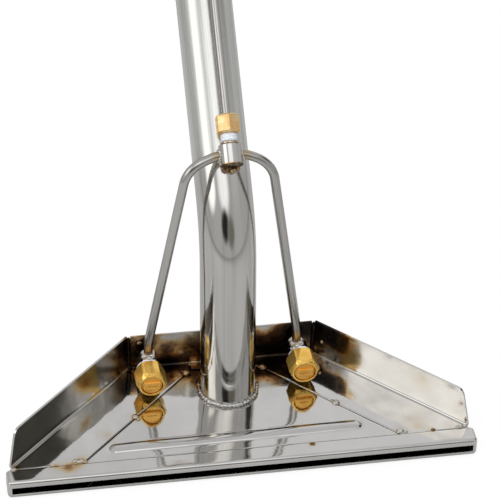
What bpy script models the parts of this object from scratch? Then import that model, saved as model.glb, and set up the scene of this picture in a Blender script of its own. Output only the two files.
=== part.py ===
"""Two-jet extraction floor head of welded stainless steel, with its bent suction tube.

The frame's origin is on the flat underside, straight below the foot of the suction
tube. +X is the head's left-to-right length, +Y points to the back and +Z up.
"""

import math

import bmesh
import bpy
from mathutils import Matrix, Vector

MM = 0.001

# Gap kept between pieces that touch on the real object.
GAP = 0.3 * MM

# Head: a shallow box with a slotted lip along its front.
SHEET = 1.5 * MM
DECK_TOP = 13.5 * MM
FRONT_SEAM_Y = -63.6 * MM
REAR_WALL_Y = 31.7 * MM
DECK_HALF_FRONT = 157.5 * MM
DECK_HALF_REAR = 63.6 * MM
SEAM_GAP = 0.6 * MM
WALL_HEIGHT = 27.4 * MM
WALL_FRONT_START = 2.6 * MM
WALL_FRONT_CUTBACK = 9.9 * MM
WALL_CORNER_RADIUS = 5.0 * MM
FOLD_RADIUS = 1.6 * MM

# Middle panel, welded between the two wings.
PANEL_HALF_FRONT = 107.8 * MM
PANEL_HALF_REAR = 22.4 * MM
PANEL_REAR_Y = 22.6 * MM

# Pressed stiffening bead on the middle panel.
BEAD_HALF_LENGTH = 86.4 * MM
BEAD_HALF_WIDTH = 4.5 * MM
BEAD_HEIGHT = 1.6 * MM
BEAD_CENTRE = Vector((-2.3 * MM, -51.0 * MM, DECK_TOP))
BEAD_SKEW = math.radians(0.7)

# Suction lip and its slot.
LIP_HALF_LENGTH = 159.2 * MM
LIP_DEPTH = 13.3 * MM
LIP_SHEET = 1.3 * MM
LIP_EDGE_RADIUS = 2.6 * MM
SLOT_HALF_LENGTH = 156.7 * MM
SLOT_BOTTOM = 3.5 * MM
SLOT_TOP = 8.8 * MM

# Suction tube: a lower leg, one bend and an upper leg.
TUBE_RADIUS = 19.05 * MM
TUBE_WALL = 1.5 * MM
LOWER_LEAN = math.radians(8.1)
UPPER_LEAN = math.radians(47.0)
LOWER_LENGTH = 122.4 * MM
UPPER_LENGTH = 204.0 * MM
BEND_RADIUS = 75.0 * MM

# Manifold and solution line, carried on the front of the upper leg.
LINE_OFFSET = 28.0 * MM
LINE_SHIFT_X = 3.0 * MM
LINE_RADIUS = 3.175 * MM
LINE_WALL = 0.9 * MM
BLOCK_START = 39.0 * MM
BLOCK_LENGTH = 14.0 * MM
BLOCK_RADIUS = 8.0 * MM
BLOCK_BORE = 5.0 * MM
COLLAR_RADIUS = 6.5 * MM
COLLAR_LENGTH = 1.8 * MM
TAPE_START = 55.3 * MM
TAPE_LENGTH = 5.2 * MM
HEX_START = 60.8 * MM
HEX_LENGTH = 12.4 * MM
HEX_ACROSS_FLATS = 15.0 * MM
HEX_TURN = math.radians(-30)
LINE_START = 64.0 * MM
LINE_END = 178.0 * MM

# Spray jets.
JET_HALF_SPACING = 53.1 * MM
JET_SHIFT_X = -0.6 * MM
JET_Z = DECK_TOP + 13.5 * MM
CAP_REAR_Y = 8.6 * MM
CAP_LENGTH = 16.0 * MM
CAP_ACROSS_FLATS = 19.05 * MM
CAP_BORE = 8.3 * MM
CAP_MOUTH = 7.4 * MM
JET_BODY_RADIUS = 6.8 * MM
JET_BODY_BACK = 15.0 * MM
JET_NOSE_RADIUS = 7.7 * MM
JET_BOSS_RADIUS = 4.4 * MM
JET_BOSS_TOP = 10.8 * MM
JET_BOSS_BACK = 7.7 * MM
BOSS_HALF_SPACING = 51.8 * MM
BOSS_SHIFT_X = -1.6 * MM
JET_NOSE_LENGTH = 6.0 * MM
JET_BORE = 5.5 * MM

# Slip coupling for the handle tube.
SLEEVE_START = 190.0 * MM
SLEEVE_END = 217.0 * MM
SLEEVE_OUTER = 22.0 * MM
NUT_START = 205.0 * MM
NUT_END = 223.0 * MM
NUT_ACROSS_FLATS = 48.0 * MM
CLIP_START = 164.0 * MM
CLIP_LENGTH = 7.0 * MM

STEEL = ("polished_steel", (0.72, 0.71, 0.69), 1.0, 0.08)
BRUSHED = ("brushed_steel", (0.66, 0.65, 0.63), 1.0, 0.30)
BRASS = ("brass", (0.83, 0.60, 0.22), 1.0, 0.25)
TAPE = ("thread_tape", (0.86, 0.90, 0.94), 0.0, 0.45)
RUBBER = ("rubber", (0.05, 0.05, 0.05), 0.0, 0.80)
WELD = ("weld_metal", (0.60, 0.57, 0.52), 1.0, 0.35)


def upper_axis():
    """Direction of the upper leg of the suction tube."""
    return Vector((0.0, math.sin(UPPER_LEAN), math.cos(UPPER_LEAN)))


def lower_axis():
    """Direction of the lower leg of the suction tube."""
    return Vector((0.0, math.sin(LOWER_LEAN), math.cos(LOWER_LEAN)))


def tube_corner():
    """Point where the straight centre lines of both legs would meet."""
    return Vector((0.0, 0.0, DECK_TOP)) + lower_axis() * LOWER_LENGTH


def upper_point(along):
    """Point on the upper leg's centre line, at a distance past the corner."""
    return tube_corner() + upper_axis() * along


def line_point(along):
    """Point on the solution line's centre line, beside the upper leg."""
    front = Vector((0.0, -math.cos(UPPER_LEAN), math.sin(UPPER_LEAN)))
    return upper_point(along) + front * LINE_OFFSET + Vector((LINE_SHIFT_X, 0.0, 0.0))


def leg_rotation():
    """Rotation that turns +Z onto the upper leg's direction."""
    return Matrix.Rotation(-UPPER_LEAN, 4, "X")


def clear_scene():
    for item in list(bpy.data.objects):
        bpy.data.objects.remove(item, do_unlink=True)


def make_collection(name):
    collection = bpy.data.collections.new(name)
    bpy.context.scene.collection.children.link(collection)
    return collection


def material(slot):
    name, colour, metallic, roughness = slot
    found = bpy.data.materials.get(name)
    if found:
        return found
    made = bpy.data.materials.new(name)
    made.use_nodes = True
    shader = made.node_tree.nodes["Principled BSDF"]
    shader.inputs["Base Color"].default_value = (*colour, 1.0)
    shader.inputs["Metallic"].default_value = metallic
    shader.inputs["Roughness"].default_value = roughness
    return made


def shade(mesh):
    mesh.shade_smooth()
    mesh.set_sharp_from_angle(angle=math.radians(35))


def add_part(name, mesh, slot, matrix=None):
    """Put a mesh in the object's collection as one named piece."""
    piece = bpy.data.objects.new(name, mesh)
    mesh.materials.clear()
    mesh.materials.append(material(slot))
    shade(mesh)
    PARTS.objects.link(piece)
    if matrix is not None:
        piece.matrix_world = matrix
    return piece


def add_cutter(name, mesh, matrix=None):
    cutter = bpy.data.objects.new(name, mesh)
    cutter.hide_render = True
    cutter.display_type = "WIRE"
    CUTTERS.objects.link(cutter)
    if matrix is not None:
        cutter.matrix_world = matrix
    return cutter


def boolean(piece, other, operation="DIFFERENCE"):
    step = piece.modifiers.new(operation.title(), "BOOLEAN")
    step.operation = operation
    step.solver = "EXACT"
    step.object = other


def bmesh_to_mesh(name, shape):
    mesh = bpy.data.meshes.new(name)
    bmesh.ops.recalc_face_normals(shape, faces=shape.faces)
    shape.to_mesh(mesh)
    shape.free()
    return mesh


def box_mesh(name, low, high):
    shape = bmesh.new()
    bmesh.ops.create_cube(shape, size=1.0)
    size = Vector(high) - Vector(low)
    centre = (Vector(high) + Vector(low)) / 2
    bmesh.ops.scale(shape, vec=size, verts=shape.verts)
    bmesh.ops.translate(shape, vec=centre, verts=shape.verts)
    return bmesh_to_mesh(name, shape)


def rod_mesh(name, radius, low, high, sides=32, flats=False):
    """Cylinder or hexagonal bar along Z from low to high."""
    shape = bmesh.new()
    turn = Matrix.Rotation(math.radians(30), 4, "Z") if flats else Matrix.Identity(4)
    bmesh.ops.create_cone(
        shape,
        cap_ends=True,
        segments=sides,
        radius1=radius,
        radius2=radius,
        depth=high - low,
        matrix=Matrix.Translation((0, 0, (low + high) / 2)) @ turn,
    )
    return bmesh_to_mesh(name, shape)


def prism_mesh(name, outline, low, high):
    """Flat outline of (x, y) points, raised from low to high along Z."""
    curve = bpy.data.curves.new(name + "_outline", "CURVE")
    curve.dimensions = "2D"
    curve.fill_mode = "BOTH"
    curve.extrude = (high - low) / 2
    spline = curve.splines.new("POLY")
    spline.points.add(len(outline) - 1)
    spline.use_cyclic_u = True
    for point, place in zip(spline.points, outline):
        point.co = (place[0], place[1], 0.0, 1.0)
    guide = bpy.data.objects.new(name + "_outline", curve)
    CUTTERS.objects.link(guide)
    bpy.context.view_layer.update()
    graph = bpy.context.evaluated_depsgraph_get()
    made = bpy.data.meshes.new_from_object(guide.evaluated_get(graph))
    bpy.data.objects.remove(guide, do_unlink=True)
    shape = bmesh.new()
    shape.from_mesh(made)
    bpy.data.meshes.remove(made)
    bmesh.ops.remove_doubles(shape, verts=shape.verts, dist=0.00001)
    bmesh.ops.translate(shape, vec=(0, 0, (low + high) / 2), verts=shape.verts)
    return bmesh_to_mesh(name, shape)


def turned_mesh(name, profile, steps=32):
    """Closed profile of (radius, height) points, turned about Z."""
    mesh = bpy.data.meshes.new(name + "_profile")
    points = [(radius, 0.0, height) for radius, height in profile]
    last = len(points)
    edges = [(i, (i + 1) % last) for i in range(last)]
    mesh.from_pydata(points, edges, [])
    guide = bpy.data.objects.new(name + "_profile", mesh)
    CUTTERS.objects.link(guide)
    screw = guide.modifiers.new("Screw", "SCREW")
    screw.angle = math.tau
    screw.steps = steps
    screw.render_steps = steps
    screw.use_merge_vertices = True
    screw.merge_threshold = 0.00001
    bpy.context.view_layer.update()
    graph = bpy.context.evaluated_depsgraph_get()
    made = bpy.data.meshes.new_from_object(guide.evaluated_get(graph))
    bpy.data.objects.remove(guide, do_unlink=True)
    shape = bmesh.new()
    shape.from_mesh(made)
    bpy.data.meshes.remove(made)
    bmesh.ops.remove_doubles(shape, verts=shape.verts, dist=0.000002)
    return bmesh_to_mesh(name, shape)


def ring_profile(inner, outer, low, high, chamfer=0.0):
    """Rectangle with its outer corners cut, from the top of its outer side down."""
    points = [(inner, high), (outer - chamfer, high)]
    if chamfer:
        points.append((outer, high - chamfer))
        points.append((outer, low + chamfer))
    points.append((outer - chamfer, low))
    points.append((inner, low))
    return points


def sheet_from_faces(name, outlines):
    """Open sheet from outlines that share edges, given as lists of points."""
    shape = bmesh.new()
    for outline in outlines:
        shape.faces.new([shape.verts.new(point) for point in outline])
    bmesh.ops.remove_doubles(shape, verts=shape.verts, dist=0.00001)
    mesh = bpy.data.meshes.new(name)
    shape.to_mesh(mesh)
    shape.free()
    return mesh


def thicken(piece, thickness, folded=False):
    """Turn an open skin into sheet metal, its thickness on the inner side."""
    solid = piece.modifiers.new("Sheet", "SOLIDIFY")
    solid.thickness = thickness
    solid.offset = -1.0
    solid.use_even_offset = True
    if folded:
        solid.solidify_mode = "NON_MANIFOLD"
        solid.nonmanifold_thickness_mode = "CONSTRAINTS"
        solid.nonmanifold_merge_threshold = 0.00001


def round_edges(piece, width, segments=2, angle=40):
    bevel = piece.modifiers.new("Bevel", "BEVEL")
    bevel.width = width
    bevel.segments = segments
    bevel.limit_method = "ANGLE"
    bevel.angle_limit = math.radians(angle)


def fillet(points, radii, steps=6):
    """Route through corner points, each inner corner rounded to its radius."""
    route = [points[0]]
    for before, corner, after, radius in zip(points, points[1:], points[2:], radii):
        back = (before - corner).normalized()
        ahead = (after - corner).normalized()
        half = back.angle(ahead) / 2
        reach = radius / math.tan(half)
        middle = corner + (back + ahead).normalized() * radius / math.sin(half)
        start = corner + back * reach - middle
        end = corner + ahead * reach - middle
        turn = start.rotation_difference(end)
        for step in range(steps + 1):
            part = turn.copy()
            part.angle = turn.angle * step / steps
            route.append(middle + part @ start)
    route.append(points[-1])
    return route


def tube_mesh(name, route, radius, resolution):
    """Open-ended skin of a round tube that follows a route."""
    curve = bpy.data.curves.new(name + "_route", "CURVE")
    curve.dimensions = "3D"
    curve.resolution_u = 1
    curve.bevel_depth = radius
    curve.bevel_resolution = resolution
    curve.use_fill_caps = False
    spline = curve.splines.new("POLY")
    spline.points.add(len(route) - 1)
    for point, place in zip(spline.points, route):
        point.co = (*place, 1.0)
    guide = bpy.data.objects.new(name + "_route", curve)
    CUTTERS.objects.link(guide)
    bpy.context.view_layer.update()
    graph = bpy.context.evaluated_depsgraph_get()
    made = bpy.data.meshes.new_from_object(guide.evaluated_get(graph))
    bpy.data.objects.remove(guide, do_unlink=True)
    made.name = name
    return made


def closed_tube_mesh(name, route, radius, resolution):
    """Solid rod that follows a route, for use as a cutter."""
    skin = tube_mesh(name, route, radius, resolution)
    shape = bmesh.new()
    shape.from_mesh(skin)
    bmesh.ops.remove_doubles(shape, verts=shape.verts, dist=0.000002)
    bmesh.ops.holes_fill(shape, edges=shape.edges, sides=0)
    bpy.data.meshes.remove(skin)
    return bmesh_to_mesh(name, shape)


def mirrored(point, side):
    """Point given for the right-hand side, moved to the wanted side."""
    return Vector((point[0] * side, point[1], point[2]))


def tube_route(start, end):
    """Centre line of the suction tube between two distances from its corner."""
    low = tube_corner() - lower_axis() * (LOWER_LENGTH - start)
    return fillet([low, tube_corner(), upper_point(end)], [BEND_RADIUS], steps=10)


def make_lip():
    """Front channel with the suction slot, closed at both ends."""
    front = FRONT_SEAM_Y - LIP_DEPTH
    back = FRONT_SEAM_Y - SEAM_GAP / 2
    low = (-LIP_HALF_LENGTH, front, 0)
    high = (LIP_HALF_LENGTH, back, DECK_TOP)
    lip = add_part("suction_lip", box_mesh("suction_lip", low, high), STEEL)
    rounding = lip.modifiers.new("Front edges", "BEVEL")
    rounding.width = LIP_EDGE_RADIUS
    rounding.segments = 4
    rounding.limit_method = "VGROUP"
    group = lip.vertex_groups.new(name="front")
    front_verts = [v.index for v in lip.data.vertices if v.co.y < front + MM]
    group.add(front_verts, 1.0, "REPLACE")
    rounding.vertex_group = group.name
    inside_low = (-SLOT_HALF_LENGTH, front + LIP_SHEET, LIP_SHEET)
    inside_high = (SLOT_HALF_LENGTH, back + 2 * MM, DECK_TOP - LIP_SHEET)
    inside = add_cutter("lip_inside", box_mesh("lip_inside", inside_low, inside_high))
    boolean(lip, inside)
    slot_low = (-SLOT_HALF_LENGTH, front - 2 * MM, SLOT_BOTTOM)
    slot_high = (SLOT_HALF_LENGTH, front + 3 * MM, SLOT_TOP)
    boolean(lip, add_cutter("lip_slot", box_mesh("lip_slot", slot_low, slot_high)))


def make_centre_panel():
    """Middle deck panel with its pressed bead and the hole for the tube."""
    front = FRONT_SEAM_Y + SEAM_GAP / 2
    half_gap = SEAM_GAP / 2
    outline = [
        (-PANEL_HALF_FRONT + half_gap, front, DECK_TOP),
        (PANEL_HALF_FRONT - half_gap, front, DECK_TOP),
        (PANEL_HALF_REAR - half_gap, PANEL_REAR_Y - half_gap, DECK_TOP),
        (-PANEL_HALF_REAR + half_gap, PANEL_REAR_Y - half_gap, DECK_TOP),
    ]
    panel = add_part("centre_panel", sheet_from_faces("centre_panel", [outline]), STEEL)
    thicken(panel, SHEET)
    bead = bmesh.new()
    sphere_turn = Matrix.Rotation(math.radians(90), 4, "Y")
    bmesh.ops.create_uvsphere(
        bead, u_segments=20, v_segments=9, radius=BEAD_HALF_WIDTH, matrix=sphere_turn
    )
    stretch = BEAD_HALF_LENGTH - BEAD_HALF_WIDTH
    for vertex in bead.verts:
        vertex.co.x += math.copysign(stretch, vertex.co.x)
        vertex.co.z *= BEAD_HEIGHT / BEAD_HALF_WIDTH
        vertex.co.z = max(vertex.co.z, -SHEET / 2)
    place = Matrix.Translation(BEAD_CENTRE) @ Matrix.Rotation(BEAD_SKEW, 4, "Z")
    shape = add_cutter("bead_shape", bmesh_to_mesh("bead_shape", bead), place)
    boolean(panel, shape, "UNION")
    hole_route = [
        Vector((0, 0, DECK_TOP)) - lower_axis() * 10 * MM,
        Vector((0, 0, DECK_TOP)) + lower_axis() * 10 * MM,
    ]
    hole = closed_tube_mesh("tube_hole", hole_route, TUBE_RADIUS + GAP, 14)
    boolean(panel, add_cutter("tube_hole", hole))


def wall_outline(start, end):
    """Upright side wall over one deck edge, its front top corner cut back and round."""
    along = (end - start).normalized()
    up = Vector((0, 0, 1))
    top = WALL_HEIGHT
    foot = start + along * WALL_FRONT_START
    edge_top = start + along * WALL_FRONT_CUTBACK + up * top
    down = (foot - edge_top).normalized()
    centre_turn = []
    for step in range(5):
        share = step / 4
        first = edge_top + along * WALL_CORNER_RADIUS * (1 - share)
        second = edge_top + down * WALL_CORNER_RADIUS * share
        centre_turn.append(first.lerp(second, share))
    return [foot, end, end + up * top] + centre_turn


def make_wing(side):
    """One side of the deck with its side wall, folded from one sheet."""
    name = "left_wing" if side < 0 else "right_wing"
    front = FRONT_SEAM_Y + SEAM_GAP / 2
    rear = REAR_WALL_Y - SHEET - GAP
    half_gap = SEAM_GAP / 2
    share = (rear - FRONT_SEAM_Y) / (REAR_WALL_Y - FRONT_SEAM_Y)
    outer_rear = DECK_HALF_FRONT + (DECK_HALF_REAR - DECK_HALF_FRONT) * share
    front_corner = mirrored((DECK_HALF_FRONT, front, DECK_TOP), side)
    rear_corner = mirrored((outer_rear, rear, DECK_TOP), side)
    wall = wall_outline(front_corner, rear_corner)
    deck = [
        mirrored((PANEL_HALF_FRONT + half_gap, front, DECK_TOP), side),
        front_corner,
        wall[0],
        rear_corner,
        mirrored((PANEL_HALF_REAR + half_gap, rear, DECK_TOP), side),
        mirrored((PANEL_HALF_REAR + half_gap, PANEL_REAR_Y, DECK_TOP), side),
    ]
    if side < 0:
        deck.reverse()
    else:
        wall.reverse()
    wing = add_part(name, sheet_from_faces(name, [deck, wall]), STEEL)
    return wing


def make_wings():
    for side in (-1, 1):
        wing = make_wing(side)
        bm = bmesh.new()
        bm.from_mesh(wing.data)
        bmesh.ops.recalc_face_normals(bm, faces=bm.faces)
        deck = max(bm.faces, key=lambda face: abs(face.normal.z))
        if deck.normal.z < 0:
            bmesh.ops.reverse_faces(bm, faces=bm.faces)
        bm.to_mesh(wing.data)
        bm.free()
        round_edges(wing, FOLD_RADIUS, segments=3, angle=80)
        thicken(wing, SHEET, folded=True)


def make_rear_wall():
    """Upright rear wall with the short deck strip behind the tube."""
    half = PANEL_HALF_REAR - SEAM_GAP / 2
    inner = REAR_WALL_Y - SHEET
    front = PANEL_REAR_Y + SEAM_GAP / 2
    top = DECK_TOP + WALL_HEIGHT
    end = DECK_HALF_REAR - GAP
    bottom = DECK_TOP - SHEET
    strip_low = (-half, front, DECK_TOP - SHEET)
    strip_high = (half, inner + SHEET / 2, DECK_TOP)
    wall = box_mesh("rear_wall", (-end, inner, bottom), (end, REAR_WALL_Y, top))
    wall = add_part("rear_wall", wall, STEEL)
    strip = add_cutter("rear_strip", box_mesh("rear_strip", strip_low, strip_high))
    boolean(wall, strip, "UNION")


def pan_outline(inset, front):
    """Trapezium a little inside the deck's edge, from the front line to the rear."""
    rear = REAR_WALL_Y - SHEET - inset
    half_front = DECK_HALF_FRONT - 2.0 * MM - inset * math.sqrt(2)
    half_rear = DECK_HALF_REAR - 2.0 * MM - inset / math.sqrt(2)
    return [(-half_front, front), (half_front, front), (half_rear, rear), (-half_rear, rear)]


def make_bottom_pan():
    """Flat underside with upturned side and rear edges that carry the deck."""
    front = FRONT_SEAM_Y + SEAM_GAP / 2
    top = DECK_TOP - SHEET - GAP
    pan = prism_mesh("bottom_pan", pan_outline(0, front), 0, top)
    pan = add_part("bottom_pan", pan, STEEL)
    inside = pan_outline(SHEET, front - 3 * MM)
    hollow = prism_mesh("pan_hollow", inside, SHEET, DECK_TOP)
    boolean(pan, add_cutter("pan_hollow", hollow))


def make_chamber_posts():
    """Posts that hold the deck off the underside when the head is leant on."""
    for side, word in ((-1, "left"), (1, "right")):
        name = word + "_chamber_post"
        low = SHEET + GAP
        high = DECK_TOP - SHEET - GAP
        post = rod_mesh(name, 3 * MM, low, high, sides=16)
        place = Matrix.Translation((side * 62 * MM, -44 * MM, 0))
        add_part(name, post, STEEL, place)


def make_suction_tube():
    skin = tube_mesh("suction_tube", tube_route(-9 * MM, UPPER_LENGTH), TUBE_RADIUS, 14)
    tube = add_part("suction_tube", skin, BRUSHED)
    thicken(tube, TUBE_WALL)
    reach = 40 * MM
    below = (DECK_TOP - SHEET) - 0.2 * MM
    foot = box_mesh("tube_foot", (-reach, -reach, -reach), (reach, reach, below))
    boolean(tube, add_cutter("tube_foot", foot))
    bead_centre = Vector((0, 0.2 * MM, DECK_TOP + GAP + 1.15 * MM))
    bead = [
        (20.7 * MM + 1.15 * MM * math.cos(turn), 1.15 * MM * math.sin(turn))
        for turn in (math.tau * step / 8 for step in range(8))
    ]
    add_part("tube_weld", turned_mesh("tube_weld", bead), WELD, Matrix.Translation(bead_centre))


def on_line(along):
    """Placement with +Z along the solution line."""
    return Matrix.Translation(line_point(along)) @ leg_rotation()


def on_leg(along):
    """Placement with +Z along the suction tube's upper leg."""
    return Matrix.Translation(upper_point(along)) @ leg_rotation()


def make_manifold():
    """Welded block that splits the solution line into two jet tubes."""
    top = BLOCK_LENGTH + COLLAR_LENGTH
    profile = [
        (0.0, top),
        (COLLAR_RADIUS, top),
        (COLLAR_RADIUS, BLOCK_LENGTH),
        (BLOCK_RADIUS, BLOCK_LENGTH - 0.3 * MM),
        (BLOCK_RADIUS, 0.3 * MM),
        (BLOCK_RADIUS - 0.3 * MM, 0.0),
        (0.0, 0.0),
    ]
    body = turned_mesh("manifold_block", profile)
    block = add_part("manifold_block", body, STEEL, on_line(BLOCK_START))
    bore = rod_mesh("manifold_bore", BLOCK_BORE, 3 * MM, top + 3 * MM, sides=24)
    boolean(block, add_cutter("manifold_bore", bore, on_line(BLOCK_START)))
    across = on_line(BLOCK_START + BLOCK_LENGTH / 2) @ Matrix.Rotation(math.pi / 2, 4, "Y")
    port = rod_mesh("manifold_ports", LINE_RADIUS + GAP, -12 * MM, 12 * MM, sides=16)
    boolean(block, add_cutter("manifold_ports", port, across))
    lump = bmesh.new()
    bmesh.ops.create_uvsphere(lump, u_segments=14, v_segments=8, radius=2.0 * MM)
    bmesh.ops.scale(lump, vec=(3.0, 1.0, 1.1), verts=lump.verts)
    front = Vector((0.0, -math.cos(UPPER_LEAN), math.sin(UPPER_LEAN)))
    seat = upper_point(BLOCK_START - 2.6 * MM) + front * (TUBE_RADIUS + 2.5 * MM)
    seat += Vector((LINE_SHIFT_X, 0, 0))
    place = Matrix.Translation(seat) @ leg_rotation()
    add_part("manifold_weld", bmesh_to_mesh("manifold_weld", lump), WELD, place)


def make_inlet():
    """Brass adapter screwed into the manifold, with the solution line in it."""
    radius = HEX_ACROSS_FLATS / math.sqrt(3)
    adapter = rod_mesh("inlet_adapter", radius, 0, HEX_LENGTH, sides=6, flats=True)
    turn = Matrix.Rotation(HEX_TURN, 4, "Z")
    adapter = add_part("inlet_adapter", adapter, BRASS, on_line(HEX_START) @ turn)
    thread = rod_mesh("adapter_thread", 4.7 * MM, -10 * MM, MM, sides=24)
    boolean(adapter, add_cutter("adapter_thread", thread, on_line(HEX_START)), "UNION")
    waterway = rod_mesh("adapter_waterway", 2.4 * MM, -12 * MM, 6 * MM, sides=16)
    boolean(adapter, add_cutter("adapter_waterway", waterway, on_line(HEX_START)))
    socket_low = LINE_START - HEX_START - GAP
    socket = rod_mesh("adapter_socket", LINE_RADIUS + GAP, socket_low, 20 * MM, sides=16)
    boolean(adapter, add_cutter("adapter_socket", socket, on_line(HEX_START)))
    wrap = ring_profile(5.0 * MM, 5.75 * MM, 0, TAPE_LENGTH, 0.25 * MM)
    add_part("adapter_tape", turned_mesh("adapter_tape", wrap, 24), TAPE, on_line(TAPE_START))
    route = [line_point(LINE_START), line_point(LINE_END)]
    line = add_part("solution_tube", tube_mesh("solution_tube", route, LINE_RADIUS, 6), BRUSHED)
    thicken(line, LINE_WALL)


def make_jet_tube(side):
    """Bent tube from the manifold's side to the top of one jet body."""
    name = "left_jet_tube" if side < 0 else "right_jet_tube"
    start = line_point(BLOCK_START + BLOCK_LENGTH / 2)
    corners = [
        start + Vector((side * 5.6 * MM, 0, 0)),
        start + Vector((side * 10.6 * MM, 0, 0)),
        Vector((side * 28.5 * MM + 1.7 * MM, 27.0 * MM, 181.5 * MM)),
        boss_point(side, JET_BOSS_TOP + 8 * MM),
        boss_point(side, JET_BOSS_TOP - 3 * MM),
    ]
    route = fillet(corners, [12 * MM, 19 * MM, 24 * MM], steps=6)
    tube = add_part(name, tube_mesh(name, route, LINE_RADIUS, 4), BRUSHED)
    thicken(tube, LINE_WALL)


def jet_x(side):
    return side * JET_HALF_SPACING + JET_SHIFT_X


def boss_point(side, height):
    """Point on the upright boss of a jet body, at a height over the jet's axis."""
    across = side * BOSS_HALF_SPACING + BOSS_SHIFT_X
    return Vector((across, CAP_REAR_Y + JET_BOSS_BACK, JET_Z + height))


def jet_place(side):
    """Placement on one jet's axis: +Z forward out of the nozzle."""
    turn = Matrix.Rotation(math.pi / 2, 4, "X")
    return Matrix.Translation((jet_x(side), CAP_REAR_Y, JET_Z)) @ turn


def make_jet(side):
    """Nozzle body with tape, strainer, gasket, spray tip and screw cap."""
    word = "left" if side < 0 else "right"
    place = jet_place(side)
    nose = JET_NOSE_LENGTH
    body_profile = [
        (0.0, nose),
        (JET_NOSE_RADIUS, nose),
        (JET_NOSE_RADIUS, -2.9 * MM),
        (JET_BODY_RADIUS, -3.2 * MM),
        (JET_BODY_RADIUS, 1.2 * MM - JET_BODY_BACK),
        (JET_BODY_RADIUS - 1.2 * MM, -JET_BODY_BACK),
        (0.0, -JET_BODY_BACK),
    ]
    name = word + "_jet_body"
    body = add_part(name, turned_mesh(name, body_profile, 28), STEEL, place)
    inlet_place = Matrix.Translation(boss_point(side, 0))
    boss = rod_mesh(word + "_jet_boss", JET_BOSS_RADIUS, 0, JET_BOSS_TOP, sides=20)
    boolean(body, add_cutter(word + "_jet_boss", boss, inlet_place), "UNION")
    bore = rod_mesh(word + "_jet_chamber", JET_BORE, nose - 13 * MM, nose + MM, sides=24)
    boolean(body, add_cutter(word + "_jet_chamber", bore, place))
    inlet = rod_mesh(word + "_jet_inlet", 2.0 * MM, 0, 14 * MM, sides=12)
    boolean(body, add_cutter(word + "_jet_inlet", inlet, inlet_place))
    seat = JET_BOSS_TOP - 3 * MM - GAP
    socket = rod_mesh(word + "_jet_socket", LINE_RADIUS + GAP, seat, 14 * MM, sides=20)
    boolean(body, add_cutter(word + "_jet_socket", socket, inlet_place))

    name = word + "_jet_tape"
    wrap = ring_profile(JET_NOSE_RADIUS + GAP, 8.6 * MM, -2.7 * MM, -GAP, 0.3 * MM)
    add_part(name, turned_mesh(name, wrap, 28), TAPE, place)

    name = word + "_strainer"
    cup = [
        (0.0, -6.2 * MM),
        (0.0, -5.4 * MM),
        (3.2 * MM, -5.4 * MM),
        (3.2 * MM, 7.0 * MM),
        (7.4 * MM, 7.0 * MM),
        (7.4 * MM, nose + GAP),
        (4.0 * MM, nose + GAP),
        (4.0 * MM, -6.2 * MM),
    ]
    add_part(name, turned_mesh(name, cup, 20), BRASS, place)

    name = word + "_gasket"
    washer = ring_profile(4.2 * MM, 7.4 * MM, 7.3 * MM, 8.4 * MM)
    add_part(name, turned_mesh(name, washer, 24), RUBBER, place)

    name = word + "_spray_tip"
    tip_profile = [
        (0.9 * MM, 8.7 * MM),
        (0.9 * MM, 15.0 * MM),
        (7.0 * MM, 15.0 * MM),
        (7.0 * MM, 11.3 * MM),
        (8.0 * MM, 11.3 * MM),
        (8.0 * MM, 8.7 * MM),
    ]
    tip = add_part(name, turned_mesh(name, tip_profile, 28), BRASS, place)
    bar_low = (-6.0 * MM, -3.1 * MM, 12.0 * MM)
    bar_high = (6.0 * MM, 3.1 * MM, CAP_LENGTH + 0.4 * MM)
    bar = add_cutter(word + "_tip_bar", box_mesh("tip_bar", bar_low, bar_high), place)
    boolean(tip, bar, "UNION")
    orifice = box_mesh("tip_orifice", (-4.0 * MM, -0.45 * MM, 14 * MM), (4.0 * MM, 0.45 * MM, 20 * MM))
    boolean(tip, add_cutter(word + "_tip_orifice", orifice, place))

    name = word + "_jet_cap"
    corner = CAP_ACROSS_FLATS / math.sqrt(3)
    cap = add_part(name, rod_mesh(name, corner, 0, CAP_LENGTH, sides=6, flats=True), BRASS, place)
    crown_profile = [
        (0.0, CAP_LENGTH + GAP),
        (CAP_MOUTH + 0.8 * MM, CAP_LENGTH + GAP),
        (corner + 0.6 * MM, CAP_LENGTH - 3.4 * MM),
        (corner + 0.6 * MM, 1.4 * MM),
        (corner - 1.2 * MM, -GAP),
        (0.0, -GAP),
    ]
    crown = add_cutter(word + "_cap_crown", turned_mesh("cap_crown", crown_profile, 28), place)
    boolean(cap, crown, "INTERSECT")
    hollow_profile = [
        (0.0, CAP_LENGTH + MM),
        (CAP_MOUTH, CAP_LENGTH + MM),
        (CAP_MOUTH, 11.7 * MM),
        (CAP_BORE, 11.7 * MM),
        (CAP_BORE, -MM),
        (0.0, -MM),
    ]
    hollow = turned_mesh("cap_hollow", hollow_profile, 28)
    boolean(cap, add_cutter(word + "_cap_hollow", hollow, place))


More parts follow.
